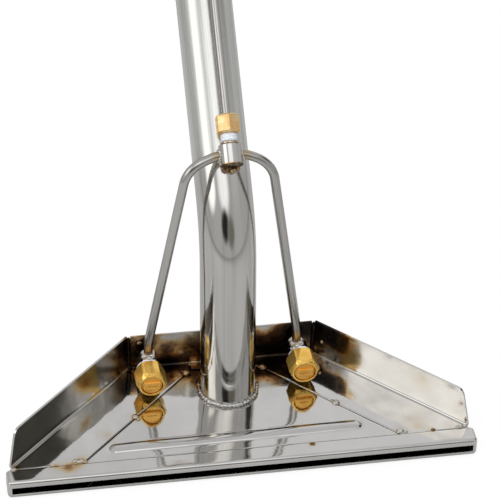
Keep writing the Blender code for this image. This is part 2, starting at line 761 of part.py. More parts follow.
def make_coupling():
    """Slip coupling that takes the handle tube, with the line's clip and plug."""
    sleeve_profile = [
        (TUBE_RADIUS + GAP, SLEEVE_END),
        (SLEEVE_OUTER, SLEEVE_END),
        (SLEEVE_OUTER, SLEEVE_START + 2.6 * MM),
        (SLEEVE_OUTER - 1.4 * MM, SLEEVE_START),
        (TUBE_RADIUS + GAP, SLEEVE_START),
    ]
    sleeve = turned_mesh("coupling_sleeve", sleeve_profile)
    add_part("coupling_sleeve", sleeve, STEEL, on_leg(0))
    seal_low = SLEEVE_END + GAP
    seal = ring_profile(TUBE_RADIUS + 0.6 * MM, SLEEVE_OUTER, seal_low, seal_low + 2.4 * MM)
    add_part("coupling_seal", turned_mesh("coupling_seal", seal), RUBBER, on_leg(0))
    radius = NUT_ACROSS_FLATS / math.sqrt(3)
    nut = rod_mesh("coupling_nut", radius, NUT_START, NUT_END, sides=6, flats=True)
    nut = add_part("coupling_nut", nut, BRASS, on_leg(0))
    hollow_profile = [
        (0.0, NUT_END + MM),
        (TUBE_RADIUS + 0.8 * MM, NUT_END + MM),
        (TUBE_RADIUS + 0.8 * MM, SLEEVE_END + 3.0 * MM),
        (SLEEVE_OUTER + 0.5 * MM, SLEEVE_END + 3.0 * MM),
        (SLEEVE_OUTER + 0.5 * MM, NUT_START - MM),
        (0.0, NUT_START - MM),
    ]
    hollow = turned_mesh("nut_hollow", hollow_profile)
    boolean(nut, add_cutter("nut_hollow", hollow, on_leg(0)))
    crown_profile = [
        (0.0, NUT_END + GAP),
        (radius - 2.6 * MM, NUT_END + GAP),
        (radius + 0.6 * MM, NUT_END - 1.8 * MM),
        (radius + 0.6 * MM, NUT_START + 1.8 * MM),
        (radius - 2.6 * MM, NUT_START - GAP),
        (0.0, NUT_START - GAP),
    ]
    crown = turned_mesh("nut_crown", crown_profile)
    boolean(nut, add_cutter("nut_crown", crown, on_leg(0)), "INTERSECT")

    plug_profile = [
        (1.8 * MM, 24 * MM),
        (4.2 * MM, 24 * MM),
        (4.6 * MM, 15 * MM),
        (3.6 * MM, 13 * MM),
        (3.6 * MM, 10 * MM),
        (6.2 * MM, 8.5 * MM),
        (6.2 * MM, -5 * MM),
        (LINE_RADIUS + GAP, -5 * MM),
        (LINE_RADIUS + GAP, GAP),
        (1.8 * MM, GAP),
    ]
    plug = turned_mesh("solution_plug", plug_profile, 20)
    add_part("solution_plug", plug, BRASS, on_line(LINE_END))
    make_clip()


def make_clip():
    """Strap round the suction tube with an eye that holds the solution line."""
    low = CLIP_START
    high = CLIP_START + CLIP_LENGTH
    band = ring_profile(TUBE_RADIUS + GAP, TUBE_RADIUS + 1.5 * MM, low, high)
    clip = add_part("line_clip", turned_mesh("line_clip", band), STEEL, on_leg(0))
    eye = rod_mesh("clip_eye", LINE_RADIUS + 1.8 * MM, low, high, sides=20)
    boolean(clip, add_cutter("clip_eye", eye, on_line(0)), "UNION")
    web_low = (-2.5 * MM + LINE_SHIFT_X, -LINE_OFFSET, low)
    web_high = (2.5 * MM + LINE_SHIFT_X, -TUBE_RADIUS - 0.6 * MM, high)
    web = box_mesh("clip_web", web_low, web_high)
    boolean(clip, add_cutter("clip_web", web, on_leg(0)), "UNION")
    hole = rod_mesh("clip_hole", LINE_RADIUS + GAP, low - MM, high + MM, sides=20)
    boolean(clip, add_cutter("clip_hole", hole, on_line(0)))


def main():
    make_lip()
    make_centre_panel()
    make_wings()
    make_rear_wall()
    make_bottom_pan()
    make_chamber_posts()
    make_suction_tube()
    make_manifold()
    make_inlet()
    make_coupling()
    for side in (-1, 1):
        make_jet_tube(side)
        make_jet(side)


clear_scene()
PARTS = make_collection("extraction_floor_head")
CUTTERS = make_collection("cutters")
main()
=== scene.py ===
"""Looks of the two-jet extraction floor head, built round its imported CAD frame."""

import math

import bmesh
import bpy
import numpy as np
from mathutils import Matrix, Vector, noise


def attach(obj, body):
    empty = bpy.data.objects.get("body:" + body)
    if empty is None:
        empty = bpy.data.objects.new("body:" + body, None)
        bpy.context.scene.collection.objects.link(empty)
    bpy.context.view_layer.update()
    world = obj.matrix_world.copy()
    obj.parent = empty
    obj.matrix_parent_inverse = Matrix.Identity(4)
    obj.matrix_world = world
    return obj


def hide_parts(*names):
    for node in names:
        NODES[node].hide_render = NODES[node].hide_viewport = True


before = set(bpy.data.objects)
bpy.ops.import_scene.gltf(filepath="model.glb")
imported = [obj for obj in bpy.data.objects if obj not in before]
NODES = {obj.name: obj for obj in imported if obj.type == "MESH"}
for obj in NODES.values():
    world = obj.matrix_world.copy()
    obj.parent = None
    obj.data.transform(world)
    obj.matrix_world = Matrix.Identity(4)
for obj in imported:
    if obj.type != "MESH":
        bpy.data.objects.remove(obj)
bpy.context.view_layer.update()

# Lengths are in millimetres, unless a comment says metres.
MM = 0.001
DOUBLES = 0.002
SIDES = ((-1, "left"), (1, "right"))

# Sheet metal of the head.
SHEET = 1.5
DECK_TOP = 13.5
FRONT_SEAM_Y = -63.6
DECK_FRONT_Y = FRONT_SEAM_Y - 0.2
REAR_WALL_Y = 31.7
DECK_HALF_FRONT = 157.5
DECK_HALF_REAR = 63.6
WALL_HEIGHT = 27.4
WALL_FRONT_START = 2.6
WALL_FRONT_CUTBACK = 9.9
WALL_CORNER = 5.0
WALL_LEAN = math.tan(math.radians(2.0))
FOLD_RADIUS = 1.6
PANEL_HALF_FRONT = 107.8
PANEL_HALF_REAR = 22.4
PANEL_REAR_Y = 22.6
SEAM_HALF_GAP = 0.3
EDGE_ROWS = (0.0, 0.25, 0.5, 0.8, 1.2)
BEAD_HALF_LENGTH = 86.4
BEAD_HALF_WIDTH = 4.5
BEAD_HEIGHT = 1.6
BEAD_X = -2.3
BEAD_Y = -51.0
BEAD_SKEW = math.radians(0.7)
BEAD_FINE_REACH = 6.5
GROOVE_DEPTH = 0.10
GROOVE_SHARE = 0.35
DISH_DEPTH = 0.85
DISH_RADIUS = 19.0
DISH_SPREAD = 15.0
SWAY_HEIGHT = 0.55
SWAY_MARGIN = 14.0
LIP_HALF = 159.2
LIP_FRONT_Y = -76.9
LIP_SHEET = 1.3
LIP_BEND = 2.6
LIP_PLAN_RADIUS = 3.0
LIP_TAB_X = (151.5, 157.5)
LIP_TAB_Y = (-65.5, -64.3)
LIP_TAB_Z = (1.7, 11.8)
SLOT_BOTTOM = 3.5
SLOT_TOP = 8.8

# Suction tube and solution line.
TUBE_RADIUS = 19.05
TUBE_WALL = 1.5
LOWER_LEAN = math.radians(8.1)
UPPER_LEAN = math.radians(47.0)
LOWER_LENGTH = 122.4
UPPER_LENGTH = 204.0
BEND_RADIUS = 75.0
LINE_OFFSET = 28.0
LINE_SHIFT_X = 3.0
LINE_RADIUS = 3.175
LINE_WALL = 0.9
BLOCK_START = 39.0
BLOCK_LENGTH = 14.0
BLOCK_RADIUS = 8.0
COLLAR_RADIUS = 6.5
COLLAR_LENGTH = 1.8
TAPE_START = 55.3
TAPE_LENGTH = 5.2
HEX_START = 60.8
HEX_LENGTH = 12.4
HEX_FLATS = 15.0
HEX_TURN = math.radians(-30)
HEX_SIDES = 144
LINE_START = 64.0
LINE_END = 178.0

# Spray jets.
JET_HALF_SPACING = 53.1
JET_SHIFT_X = -0.6
JET_Z = 27.0
CAP_REAR_Y = 8.6
CAP_LENGTH = 16.0
CAP_FLATS = 19.05
CAP_BORE = 8.3
CAP_MOUTH = 7.4
JET_BODY_RADIUS = 6.8
JET_BODY_BACK = 15.0
JET_NOSE_RADIUS = 7.7
JET_NOSE_LENGTH = 6.0
JET_BORE = 5.5
JET_BOSS_RADIUS = 4.4
JET_BOSS_TOP = 10.8
JET_BOSS_BACK = 7.7
BOSS_HALF_SPACING = 51.8
BOSS_SHIFT_X = -1.6
JET_SHOULDER = (28.5, 27.0, 181.5)
JET_SHOULDER_SHIFT_X = 1.7
JET_BENDS = (12, 19, 24)

LOWER_AXIS = Vector((0.0, math.sin(LOWER_LEAN), math.cos(LOWER_LEAN)))
UPPER_AXIS = Vector((0.0, math.sin(UPPER_LEAN), math.cos(UPPER_LEAN)))
UPPER_FRONT = Vector((0.0, -math.cos(UPPER_LEAN), math.sin(UPPER_LEAN)))
TUBE_CORNER = Vector((0.0, 0.0, DECK_TOP)) + LOWER_AXIS * LOWER_LENGTH


def upper_point(along):
    """Point on the axis of the suction tube's upper leg, from the bend's corner."""
    return TUBE_CORNER + UPPER_AXIS * along


def line_point(along):
    """Point on the solution line's axis, in front of the upper leg."""
    return upper_point(along) + UPPER_FRONT * LINE_OFFSET + Vector((LINE_SHIFT_X, 0, 0))


def on_line(along):
    """Placement on the solution line, whose third axis follows the line."""
    return Matrix.Translation(line_point(along)) @ Matrix.Rotation(-UPPER_LEAN, 4, "X")


def jet_place(side):
    """Placement of a jet's own axes: the third one points forward out of the cap."""
    place = Matrix.Translation((side * JET_HALF_SPACING + JET_SHIFT_X, CAP_REAR_Y, JET_Z))
    return place @ Matrix.Rotation(math.pi / 2, 4, "X")


def boss_point(side, height):
    """Point on the axis of a jet's boss."""
    across = side * BOSS_HALF_SPACING + BOSS_SHIFT_X
    return Vector((across, CAP_REAR_Y + JET_BOSS_BACK, JET_Z + height))


def falloff(distance):
    """Bell curve, 1 at no distance."""
    return math.exp(-(distance**2))


PORT_MIDDLE = line_point(BLOCK_START + BLOCK_LENGTH / 2)


# Heat stains left by welding, and painted shade that darkens the rear wall and its corners: centre, radius
# and strength.
HEAT_AND_SHADE_SPOTS = [
    ((-26, 19, 13.5), 11, 0.60),
    ((27, 18, 13.5), 12, 0.62),
    ((-40, 29, 14), 14, 0.86),
    ((-12, 30, 16), 16, 0.50),
    ((38, 29, 16), 22, 0.75),
    ((12, 30, 16), 17, 0.60),
    ((-63, 29, 26), 18, 0.75),
    ((-50, 31, 32), 15, 0.45),
    ((-28, 31, 30), 15, 0.25),
    ((63, 29, 34), 18, 0.90),
    ((74, 19, 34), 13, 0.93),
    ((81, 12, 33), 9, 0.85),
    ((46, 31, 32), 18, 0.65),
    ((22, 31, 30), 16, 0.45),
    ((-67, -22, 13.5), 5, 0.34),
    ((71, -26, 13.5), 4, 0.26),
    ((-109, -61, 13.5), 6, 0.36),
    ((108, -61, 13.5), 5, 0.26),
    ((-118, -66, 13.5), 6, 0.46),
    ((-126, -64, 13.5), 5, 0.34),
    ((131, -62, 13.5), 2.5, 0.40),
    ((150, -61, 13.5), 4, 0.14),
    ((-152, -62, 13.5), 4, 0.40),
    ((47, -65.5, 13.5), 2.4, 0.60),
    ((128, -33, 34), 11, 0.18),
    ((148, -54, 22), 8, 0.10),
    ((-98, -4, 32), 10, 0.34),
    ((-88, -38, 13.5), 7, 0.20),
    ((18, 9, 13.5), 8, 0.50),
    ((-18, 9, 13.5), 8, 0.45),
]


def heat_and_shade_at(point):
    """How strongly welding has tinted the steel at a point, or painted shade darkens it, from 0 to 1."""
    wobble = 0.30 * noise.noise(point * 0.11) + 0.16 * noise.noise(point * 0.37 + Vector((7, 3, 1)))
    clear = 1.0
    for centre, radius, strength in HEAT_AND_SHADE_SPOTS:
        reach = (point - Vector(centre)).length / (radius * (1.0 + wobble * 1.4))
        if reach < 1.6:
            clear *= 1.0 - strength * math.exp(-1.6 * reach * reach)
    return 1.0 - clear


# ---------------------------------------------------------------- materials


class Nodes:
    """Short calls that add and join the nodes of one node tree."""

    def __init__(self, tree):
        self.tree = tree

    def feed(self, socket, item):
        """Link another node's output, or set a number, a vector or a colour."""
        if isinstance(item, bpy.types.NodeSocket):
            self.tree.links.new(item, socket)
        elif socket.type == "RGBA":
            socket.default_value = (*item, 1.0)
        else:
            socket.default_value = item

    def node(self, kind, inputs, output=0, **settings):
        """One output of a new node, whose inputs are given by name or number."""
        node = self.tree.nodes.new(kind)
        for key, value in settings.items():
            setattr(node, key, value)
        for key, item in inputs.items():
            self.feed(node.inputs[key], item)
        return node.outputs[output]

    def math(self, operation, first, second, clamp=False):
        return self.node("ShaderNodeMath", {0: first, 1: second}, operation=operation, use_clamp=clamp)

    def span(self, source, low, high, out_low=0.0, out_high=1.0):
        inputs = {"Value": source, "From Min": low, "From Max": high, "To Min": out_low, "To Max": out_high}
        return self.node("ShaderNodeMapRange", inputs, "Result", interpolation_type="SMOOTHSTEP")

    def blend(self, kind, factor, first, second):
        inputs = {"Factor": factor, 6: first, 7: second}
        return self.node("ShaderNodeMix", inputs, 2, data_type="RGBA", blend_type=kind)


class Surface(Nodes):
    """One node material, built up in steps and closed by done."""

    def __init__(self, name, colour, metallic, roughness):
        self.material = bpy.data.materials.new(name)
        self.material.use_nodes = True
        super().__init__(self.material.node_tree)
        self.shader = self.tree.nodes["Principled BSDF"]
        self.set(("Base Color", colour), ("Metallic", metallic), ("Roughness", roughness))
        self.normal = None

    def set(self, *pairs):
        for key, item in pairs:
            self.feed(self.shader.inputs[key], item)

    def place(self, scale, attribute=None):
        """Object coordinates, or a vector attribute, in metres and stretched by scale."""
        if attribute:
            source = self.node("ShaderNodeAttribute", {}, "Vector", attribute_name=attribute)
        else:
            source = self.node("ShaderNodeTexCoord", {}, "Object")
        scale = scale if isinstance(scale, tuple) else (scale,) * 3
        return self.node("ShaderNodeMapping", {"Vector": source, "Scale": scale}, "Vector")

    def height(self, attribute=None):
        """The third coordinate, in metres."""
        return self.node("ShaderNodeSeparateXYZ", {0: self.place(1, attribute)}, "Z")

    def noise(self, scale, detail=3.0, rough=0.5, attribute=None):
        place = self.place(scale, attribute)
        inputs = {"Vector": place, "Scale": 1.0, "Detail": detail, "Roughness": rough}
        return self.node("ShaderNodeTexNoise", inputs, "Fac")

    def heat_and_shade(self, scale, detail, amount, lower=0.0):
        """The mesh's tint-and-shade value, broken up by a noise: weld tint, and painted shade where it runs
        near black.
        """
        value = self.node("ShaderNodeAttribute", {}, "Fac", attribute_name="heat_and_shade_level")
        heat_and_shade = self.math("ADD", value, self.math("MULTIPLY", self.noise(scale, detail), amount))
        return self.math("SUBTRACT", heat_and_shade, lower, clamp=True) if lower else heat_and_shade

    def ramp(self, source, stops):
        node = self.tree.nodes.new("ShaderNodeValToRGB")
        elements = node.color_ramp.elements
        elements.remove(elements[1])
        elements[0].position = stops[0][0]
        elements[0].color = (*stops[0][1], 1.0)
        for position, colour in stops[1:]:
            elements.new(position).color = (*colour, 1.0)
        self.feed(node.inputs["Fac"], source)
        return node.outputs["Color"]

    def bump(self, height, distance):
        inputs = {"Height": height, "Distance": distance}
        if self.normal is not None:
            inputs["Normal"] = self.normal
        self.normal = self.node("ShaderNodeBump", inputs, "Normal")

    def done(self, colour, roughness):
        self.set(("Base Color", colour), ("Roughness", roughness), ("Normal", self.normal))
        return self.material


STEEL = (0.72, 0.71, 0.69)
# Heat tint colours; the darkest stops, near black, are painted shade on the rear wall, its corners and
# their welds.
HEAT_AND_SHADE_COLOURS = (
    (0.00, STEEL),
    (0.14, (0.68, 0.64, 0.58)),
    (0.27, (0.66, 0.49, 0.28)),
    (0.40, (0.34, 0.20, 0.10)),
    (0.55, (0.12, 0.080, 0.055)),
    (0.80, (0.030, 0.024, 0.020)),
    (1.00, (0.014, 0.011, 0.009)),
)


# Near-black colours for the lip channel's inside: painted shade.
SHADE_COLOURS = ((0.0, (0.030, 0.029, 0.028)), (1.0, (0.012, 0.011, 0.010)))

# Heights in metres between which the polish gets duller.
WALL_DULL_SPAN = (0.015, 0.020)


def polished_sheet(name, wave=0.00030, lines=(30, 900, 900), colours=HEAT_AND_SHADE_COLOURS, wall=0.0):
    """Mirror polished sheet with polishing lines, waviness, weld tint stains with painted shade, and duller
    walls.
    """
    s = Surface(name, STEEL, 1.0, 0.07)
    heat_and_shade = s.heat_and_shade(160, 4.0, 0.10, 0.05)
    tint = s.ramp(heat_and_shade, colours)
    mottle = s.ramp(s.noise(45, 4.0), ((0.3, (0.90, 0.90, 0.90)), (0.7, (1.0, 1.0, 1.0))))
    colour = s.blend("MULTIPLY", 1.0, tint, mottle)
    fine = s.noise(lines, 3.0, 0.6)
    rough = s.span(fine, 0.3, 0.75, 0.035, 0.10)
    rough = s.math("ADD", rough, s.math("MULTIPLY", heat_and_shade, 0.12))
    if wall:
        rough = s.math("ADD", rough, s.span(s.height(), *WALL_DULL_SPAN, 0.0, wall))
    s.bump(s.noise(16, 1.0), wave * 2)
    s.bump(s.noise(60, 1.0), wave * 0.35)
    s.bump(fine, 0.000004)
    return s.done(colour, rough)


def steel_tube(name, satin_from, satin_to, satin=0.17, streak=1.0, tint=0.92, dark=0.72, lift=0.6):
    """Steel tube: mirror polished up to a length, lengthwise satin lines past it."""
    s = Surface(name, STEEL, 1.0, 0.12)
    satin_and_sheen = s.span(s.height("straight"), satin_from, satin_to)
    streaks = s.noise((900, 900, 9), 4.0, 0.65, "straight")
    # The broad noise gives lighter and darker lengthwise bands round the tube: painted reflection streaks.
    broad = s.noise((220, 220, 5), 2.0, 0.5, "straight")
    colour = s.ramp(s.heat_and_shade((120, 120, 60), 3.0, 0.06), HEAT_AND_SHADE_COLOURS)
    shade = s.ramp(broad, ((0.30, (0.80 * tint,) * 3), (0.55, (tint,) * 3), (0.75, (tint * 1.04,) * 3)))
    colour = s.blend("MULTIPLY", 1.0, colour, shade)
    lines = s.ramp(streaks, ((0.32, (dark, dark, dark)), (0.50, (1.0, 1.0, 1.0))))
    # On the satin part the colour is lifted towards pale grey: painted sheen.
    if lift:
        colour = s.blend("MIX", s.math("MULTIPLY", satin_and_sheen, lift), colour, (0.88, 0.89, 0.86))
    colour = s.blend("MULTIPLY", s.math("MULTIPLY", satin_and_sheen, 0.9), colour, lines)
    rough = s.math("ADD", s.math("MULTIPLY", satin_and_sheen, satin), s.span(streaks, 0.3, 0.7, 0.05, 0.11))
    s.bump(s.noise((30, 30, 14), 1.0, 0.5, "straight"), 0.00018 * streak)
    s.bump(streaks, 0.000012 * streak)
    return s.done(colour, rough)


def machined_brass(name, colour, dents, dull, metal=0.78):
    """Brass with faint patches of patina and a slightly uneven surface."""
    s = Surface(name, colour, metal, dull)
    worn = tuple(c * k for c, k in zip(colour, (0.88, 0.82, 0.68)))
    bright = tuple(min(1.0, c * k) for c, k in zip(colour, (1.10, 1.16, 1.45)))
    tone = s.ramp(s.noise(120, 1.5), ((0.28, worn), (0.50, colour), (0.78, bright)))
    rough = s.span(s.noise(300, 1.0), 0.3, 0.7, dull * 0.8, dull * 1.3)
    s.bump(s.noise(230, 1.0), dents)
    return s.done(tone, rough)


def weld_metal(name, colour=(0.66, 0.64, 0.60)):
    """Grainy weld bead with its tint colours, whose darkest stops are painted shade."""
    s = Surface(name, colour, 1.0, 0.18)
    tone = s.ramp(s.heat_and_shade(500, 3.0, 0.18, 0.09), HEAT_AND_SHADE_COLOURS)
    rough = s.span(s.noise(1500), 0.3, 0.7, 0.08, 0.30)
    s.bump(s.noise(900), 0.00010)
    return s.done(tone, rough)


def tape_wrap(name):
    """White thread tape with fine folds along its turns."""
    s = Surface(name, (0.84, 0.88, 0.93), 0.0, 0.42)
    folds = s.noise((500, 500, 1600), 3.0, 0.6, "straight")
    # The tone follows the folds' relief, darker and bluer in their hollows: painted shade in the creases.
    tone = s.ramp(folds, ((0.3, (0.66, 0.72, 0.80)), (0.6, (0.86, 0.90, 0.95)), (0.9, (0.94, 0.96, 0.99))))
    s.bump(folds, 0.00012)
    return s.done(tone, s.span(folds, 0.3, 0.7, 0.35, 0.55))


def black_rubber(name):
    """Matt rubber with a fine grain."""
    s = Surface(name, (0.03, 0.03, 0.03), 0.0, 0.7)
    grain = s.noise(1500)
    tone = s.ramp(grain, ((0.3, (0.022, 0.022, 0.022)), (0.7, (0.045, 0.045, 0.045))))
    s.bump(grain, 0.00003)
    return s.done(tone, s.span(grain, 0.3, 0.7, 0.6, 0.85))


SHEET_STEEL = polished_sheet("polished_sheet_steel", wave=0.00050, wall=0.10)
PAN_STEEL = polished_sheet("polished_pan_steel", wave=0.00020)
# Near-black steel for hollows: painted shade.
DARK_STEEL = polished_sheet("painted_shade_inner_steel", colours=SHADE_COLOURS)
TUBE_STEEL = steel_tube("suction_tube_steel", 0.150, 0.185)
PIPE_STEEL = steel_tube("small_tube_steel", -0.02, -0.01, 0.06, 0.5, tint=0.80, dark=0.45, lift=0.0)
FITTING_STEEL = polished_sheet("polished_fitting_steel", wave=0.00004, lines=(500, 500, 500))
BRASS = machined_brass("cast_bright_brass", (1.0, 0.62, 0.14), 0.00006, 0.15)
TIP_BRASS = machined_brass("nozzle_brass", (1.0, 0.53, 0.10), 0.00004, 0.22, 0.70)
PALE_BRASS = machined_brass("bright_milled_brass", (0.98, 0.66, 0.31), 0.000004, 0.34)
WELD = weld_metal("weld_bead_steel")
WELD_BODY = weld_metal("jet_body_steel", (0.70, 0.70, 0.69))
TAPE = tape_wrap("wound_tape")
RUBBER = black_rubber("black_rubber")


# ---------------------------------------------------------------- mesh tools


def linked(name, data):
    """New object in the scene."""
    piece = bpy.data.objects.new(name, data)
    bpy.context.scene.collection.objects.link(piece)
    return piece


def finish_piece(name, mesh, material, body="head", replaces=(), sharp=40, weighted=True):
    """Link a mesh given in metres as one piece of the object."""
    mesh.materials.clear()
    mesh.materials.append(material)
    mesh.shade_smooth()
    mesh.set_sharp_from_angle(angle=math.radians(sharp))
    piece = linked(name, mesh)
    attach(piece, body)
    if replaces:
        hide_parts(*replaces)
    if weighted:
        piece.modifiers.new("Weighted", "WEIGHTED_NORMAL").keep_sharp = True
    return piece


def finish_sheet(name, mesh, replaces=()):
    return finish_piece(name, mesh, SHEET_STEEL, replaces=replaces)


def finish_weld(name, mesh, replaces=()):
    finish_piece(name, mesh, WELD, replaces=replaces, weighted=False, sharp=80)


def raw_mesh(name, points, faces, straight=None, heat_and_shade=None, place=None, tidy=True):
    """Mesh from points in millimetres, with its texture lane and tint-and-shade values.

    Without these values, each point takes the stain and painted shade at its place. The points may be
    given round the origin and moved to a place afterwards.
    """
    points = np.asarray(points, float).reshape(-1, 3)
    mesh = bpy.data.meshes.new(name)
    mesh.from_pydata([tuple(p) for p in points * MM], [], faces)
    straight = np.asarray(points if straight is None else straight, float) * MM
    lane = mesh.attributes.new("straight", "FLOAT_VECTOR", "POINT")
    lane.data.foreach_set("vector", straight.astype(np.float32).ravel())
    if heat_and_shade is None:
        heat_and_shade = [heat_and_shade_at(Vector(p)) for p in points]
    heat_and_shade_level = mesh.attributes.new("heat_and_shade_level", "FLOAT", "POINT")
    heat_and_shade_level.data.foreach_set("value", np.full(len(points), heat_and_shade, np.float32))
    if place is not None:
        mesh.transform(moved_to(place))
    if tidy:
        changed(mesh, outward)
    return mesh


def changed(mesh, *steps):
    """Run steps on the mesh as a bmesh, and write it back."""
    shape = bmesh.new()
    shape.from_mesh(mesh)
    for step in steps:
        step(shape)
    shape.to_mesh(mesh)
    shape.free()


def outward(shape):
    bmesh.ops.recalc_face_normals(shape, faces=shape.faces)


def merged(shape):
    bmesh.ops.remove_doubles(shape, verts=shape.verts, dist=DOUBLES * MM)


def no_loose(shape):
    bmesh.ops.delete(shape, geom=[v for v in shape.verts if not v.link_faces], context="VERTS")


def facing_up(rank):
    """Step that turns a sheet over when its first face by rank looks down."""

    def turn_over(shape):
        if max(shape.faces, key=rank).normal.z < 0:
            bmesh.ops.reverse_faces(shape, faces=shape.faces)

    return turn_over


def grid_faces(rows, columns, wrap_rows=False, wrap_columns=False, keep=None):
    """Four-sided faces over rows of points, except where keep says no."""
    faces = []
    for i in range(rows if wrap_rows else rows - 1):
        for j in range(columns if wrap_columns else columns - 1):
            if keep is None or keep(i, j):
                k, m = (i + 1) % rows, (j + 1) % columns
                faces.append((i * columns + j, i * columns + m, k * columns + m, k * columns + j))
    return faces


def end_faces(rows, columns):
    """The two faces that close a tube of rows of points."""
    return [tuple(range(columns)), tuple(range((rows - 1) * columns, rows * columns))]


def stretch(*pieces):
    """Values from (start, end, count) spans, joined without repeats."""
    values = []
    for start, end, count in pieces:
        values += [start + (end - start) * i / count for i in range(count)]
    return values + [pieces[-1][1]]


def arc(start, end, steps):
    """Cosine and sine at even steps of an angle, both ends included."""
    return [(math.cos(angle), math.sin(angle)) for angle in stretch((start, end, steps))]


def circle(sides):
    """Angle, cosine and sine at even steps of a full turn."""
    angles = [math.tau * j / sides for j in range(sides)]
    return [(angle, math.cos(angle), math.sin(angle)) for angle in angles]


def moved_to(place):
    """A placement in millimetres, as one in metres."""
    result = place.copy()
    result.translation = place.translation * MM
    return result


def turned(profile, sides, swell=None, close=True):
    """Points and faces of a profile of (radius, height) turned round the third axis."""
    points = []
    for radius, height in profile:
        for angle, across, up in circle(sides):
            r = radius * (swell(angle, radius, height) if swell else 1.0)
            points.append((r * across, r * up, height))
    return points, grid_faces(len(profile), sides, wrap_rows=close, wrap_columns=True)


def rounded(profile, radius, steps=3, closed=True):
    """Profile with its corners rounded where there is room."""
    count = len(profile)
    result = []
    for i, corner in enumerate(profile):
        if not closed and i in (0, count - 1):
            result.append(corner)
            continue
        here = Vector(corner)
        back = Vector(profile[i - 1]) - here
        ahead = Vector(profile[(i + 1) % count]) - here
        reach = min(radius, back.length * 0.45, ahead.length * 0.45)
        start = here + back.normalized() * reach
        end = here + ahead.normalized() * reach
        for step in range(steps + 1):
            t = step / steps
            result.append(tuple(start * (1 - t) ** 2 + here * 2 * t * (1 - t) + end * t * t))
    return result


def fillet(points, radii, steps):
    """Route through corner points, each inner corner rounded to its radius."""
    route = [points[0]]
    for before, corner, after, radius in zip(points, points[1:], points[2:], radii):
        back = (before - corner).normalized()
        ahead = (after - corner).normalized()
        half = back.angle(ahead) / 2
        reach = radius / math.tan(half)
        middle = corner + (back + ahead).normalized() * radius / math.sin(half)
        start = corner + back * reach - middle
        end = corner + ahead * reach - middle
        turn = start.rotation_difference(end)
        for step in range(steps + 1):
            part = turn.copy()
            part.angle = turn.angle * step / steps
            route.append(middle + part @ start)
    route.append(points[-1])
    return route


def spaced(route, step):
    """The same route with its long straights cut up."""
    result = [route[0]]
    for point in route[1:]:
        last = result[-1]
        cuts = max(1, int((point - last).length / step))
        result += [last.lerp(point, (k + 1) / cuts) for k in range(cuts)]
    return result


def swept(route, outer, inner, sides, across, foot_z=None):
    """Closed tube along a route: outer skin, end rims and bore."""
    rings, total = [], 0.0
    for i, point in enumerate(route):
        ahead = (route[min(i + 1, len(route) - 1)] - route[max(i - 1, 0)]).normalized()
        across = (across - ahead * across.dot(ahead)).normalized()
        if i:
            total += (point - route[i - 1]).length
        rings.append((point, across, ahead.cross(across), ahead, total))
    last = len(rings) - 1
    edge = (outer - inner) * 0.25
    loop = [(0, inner + edge), (0, outer - edge)] + [(i, outer) for i in range(last + 1)]
    loop += [(last, outer - edge), (last, inner + edge)] + [(i, inner) for i in range(last, -1, -1)]
    points, straight = [], []
    for index, radius in loop:
        centre, first, second, ahead, length = rings[index]
        for _, c, s in circle(sides):
            point = centre + (first * c + second * s) * radius
            if foot_z is not None and index == 0:
                point = point + ahead * ((foot_z - point.z) / ahead.z)
            points.append(tuple(point))
            straight.append((radius * c, radius * s, length))
    return points, grid_faces(len(loop), sides, wrap_rows=True, wrap_columns=True), straight


# ---------------------------------------------------------------- sheet metal


def deck_height(x, y):
    """Height of the deck surface over its flat plane."""
    run = math.cos(BEAD_SKEW) * (x - BEAD_X) + math.sin(BEAD_SKEW) * (y - BEAD_Y)
    off = -math.sin(BEAD_SKEW) * (x - BEAD_X) + math.cos(BEAD_SKEW) * (y - BEAD_Y)
    past = max(0.0, abs(run) - (BEAD_HALF_LENGTH - BEAD_HALF_WIDTH))
    reach = math.hypot(past, off) / BEAD_HALF_WIDTH
    height = 0.0
    if reach < 1.0:
        height += BEAD_HEIGHT * (1 - reach * reach) ** 0.8
    elif reach < 1.0 + GROOVE_SHARE:
        height -= GROOVE_DEPTH * math.sin((reach - 1.0) / GROOVE_SHARE * math.pi)
    height -= DISH_DEPTH * falloff((math.hypot(x, y) - DISH_RADIUS) / DISH_SPREAD)
    inside = 1.0
    for margin in (y - FRONT_SEAM_Y, PANEL_REAR_Y - y):
        inside *= min(1.0, max(0.0, margin / SWAY_MARGIN))
    sway = noise.noise(Vector((x * 0.022, y * 0.035, 4.0)))
    return height + SWAY_HEIGHT * sway * inside * inside


def edge_roll(distance, depth=0.40, width=1.0):
    """Drop of a sheet's surface close to its edge."""
    if distance >= width:
        return 0.0
    return -depth * (1 - distance / width) ** 2


def front_roll(distance):
    return edge_roll(distance, 0.10, 0.9)


def panel_half(y):
    """Half width of the middle panel at a depth, to the middle of its seam."""
    share = min(1.0, (y - FRONT_SEAM_Y) / (PANEL_REAR_Y - FRONT_SEAM_Y))
    return PANEL_HALF_FRONT + (PANEL_HALF_REAR - PANEL_HALF_FRONT) * share


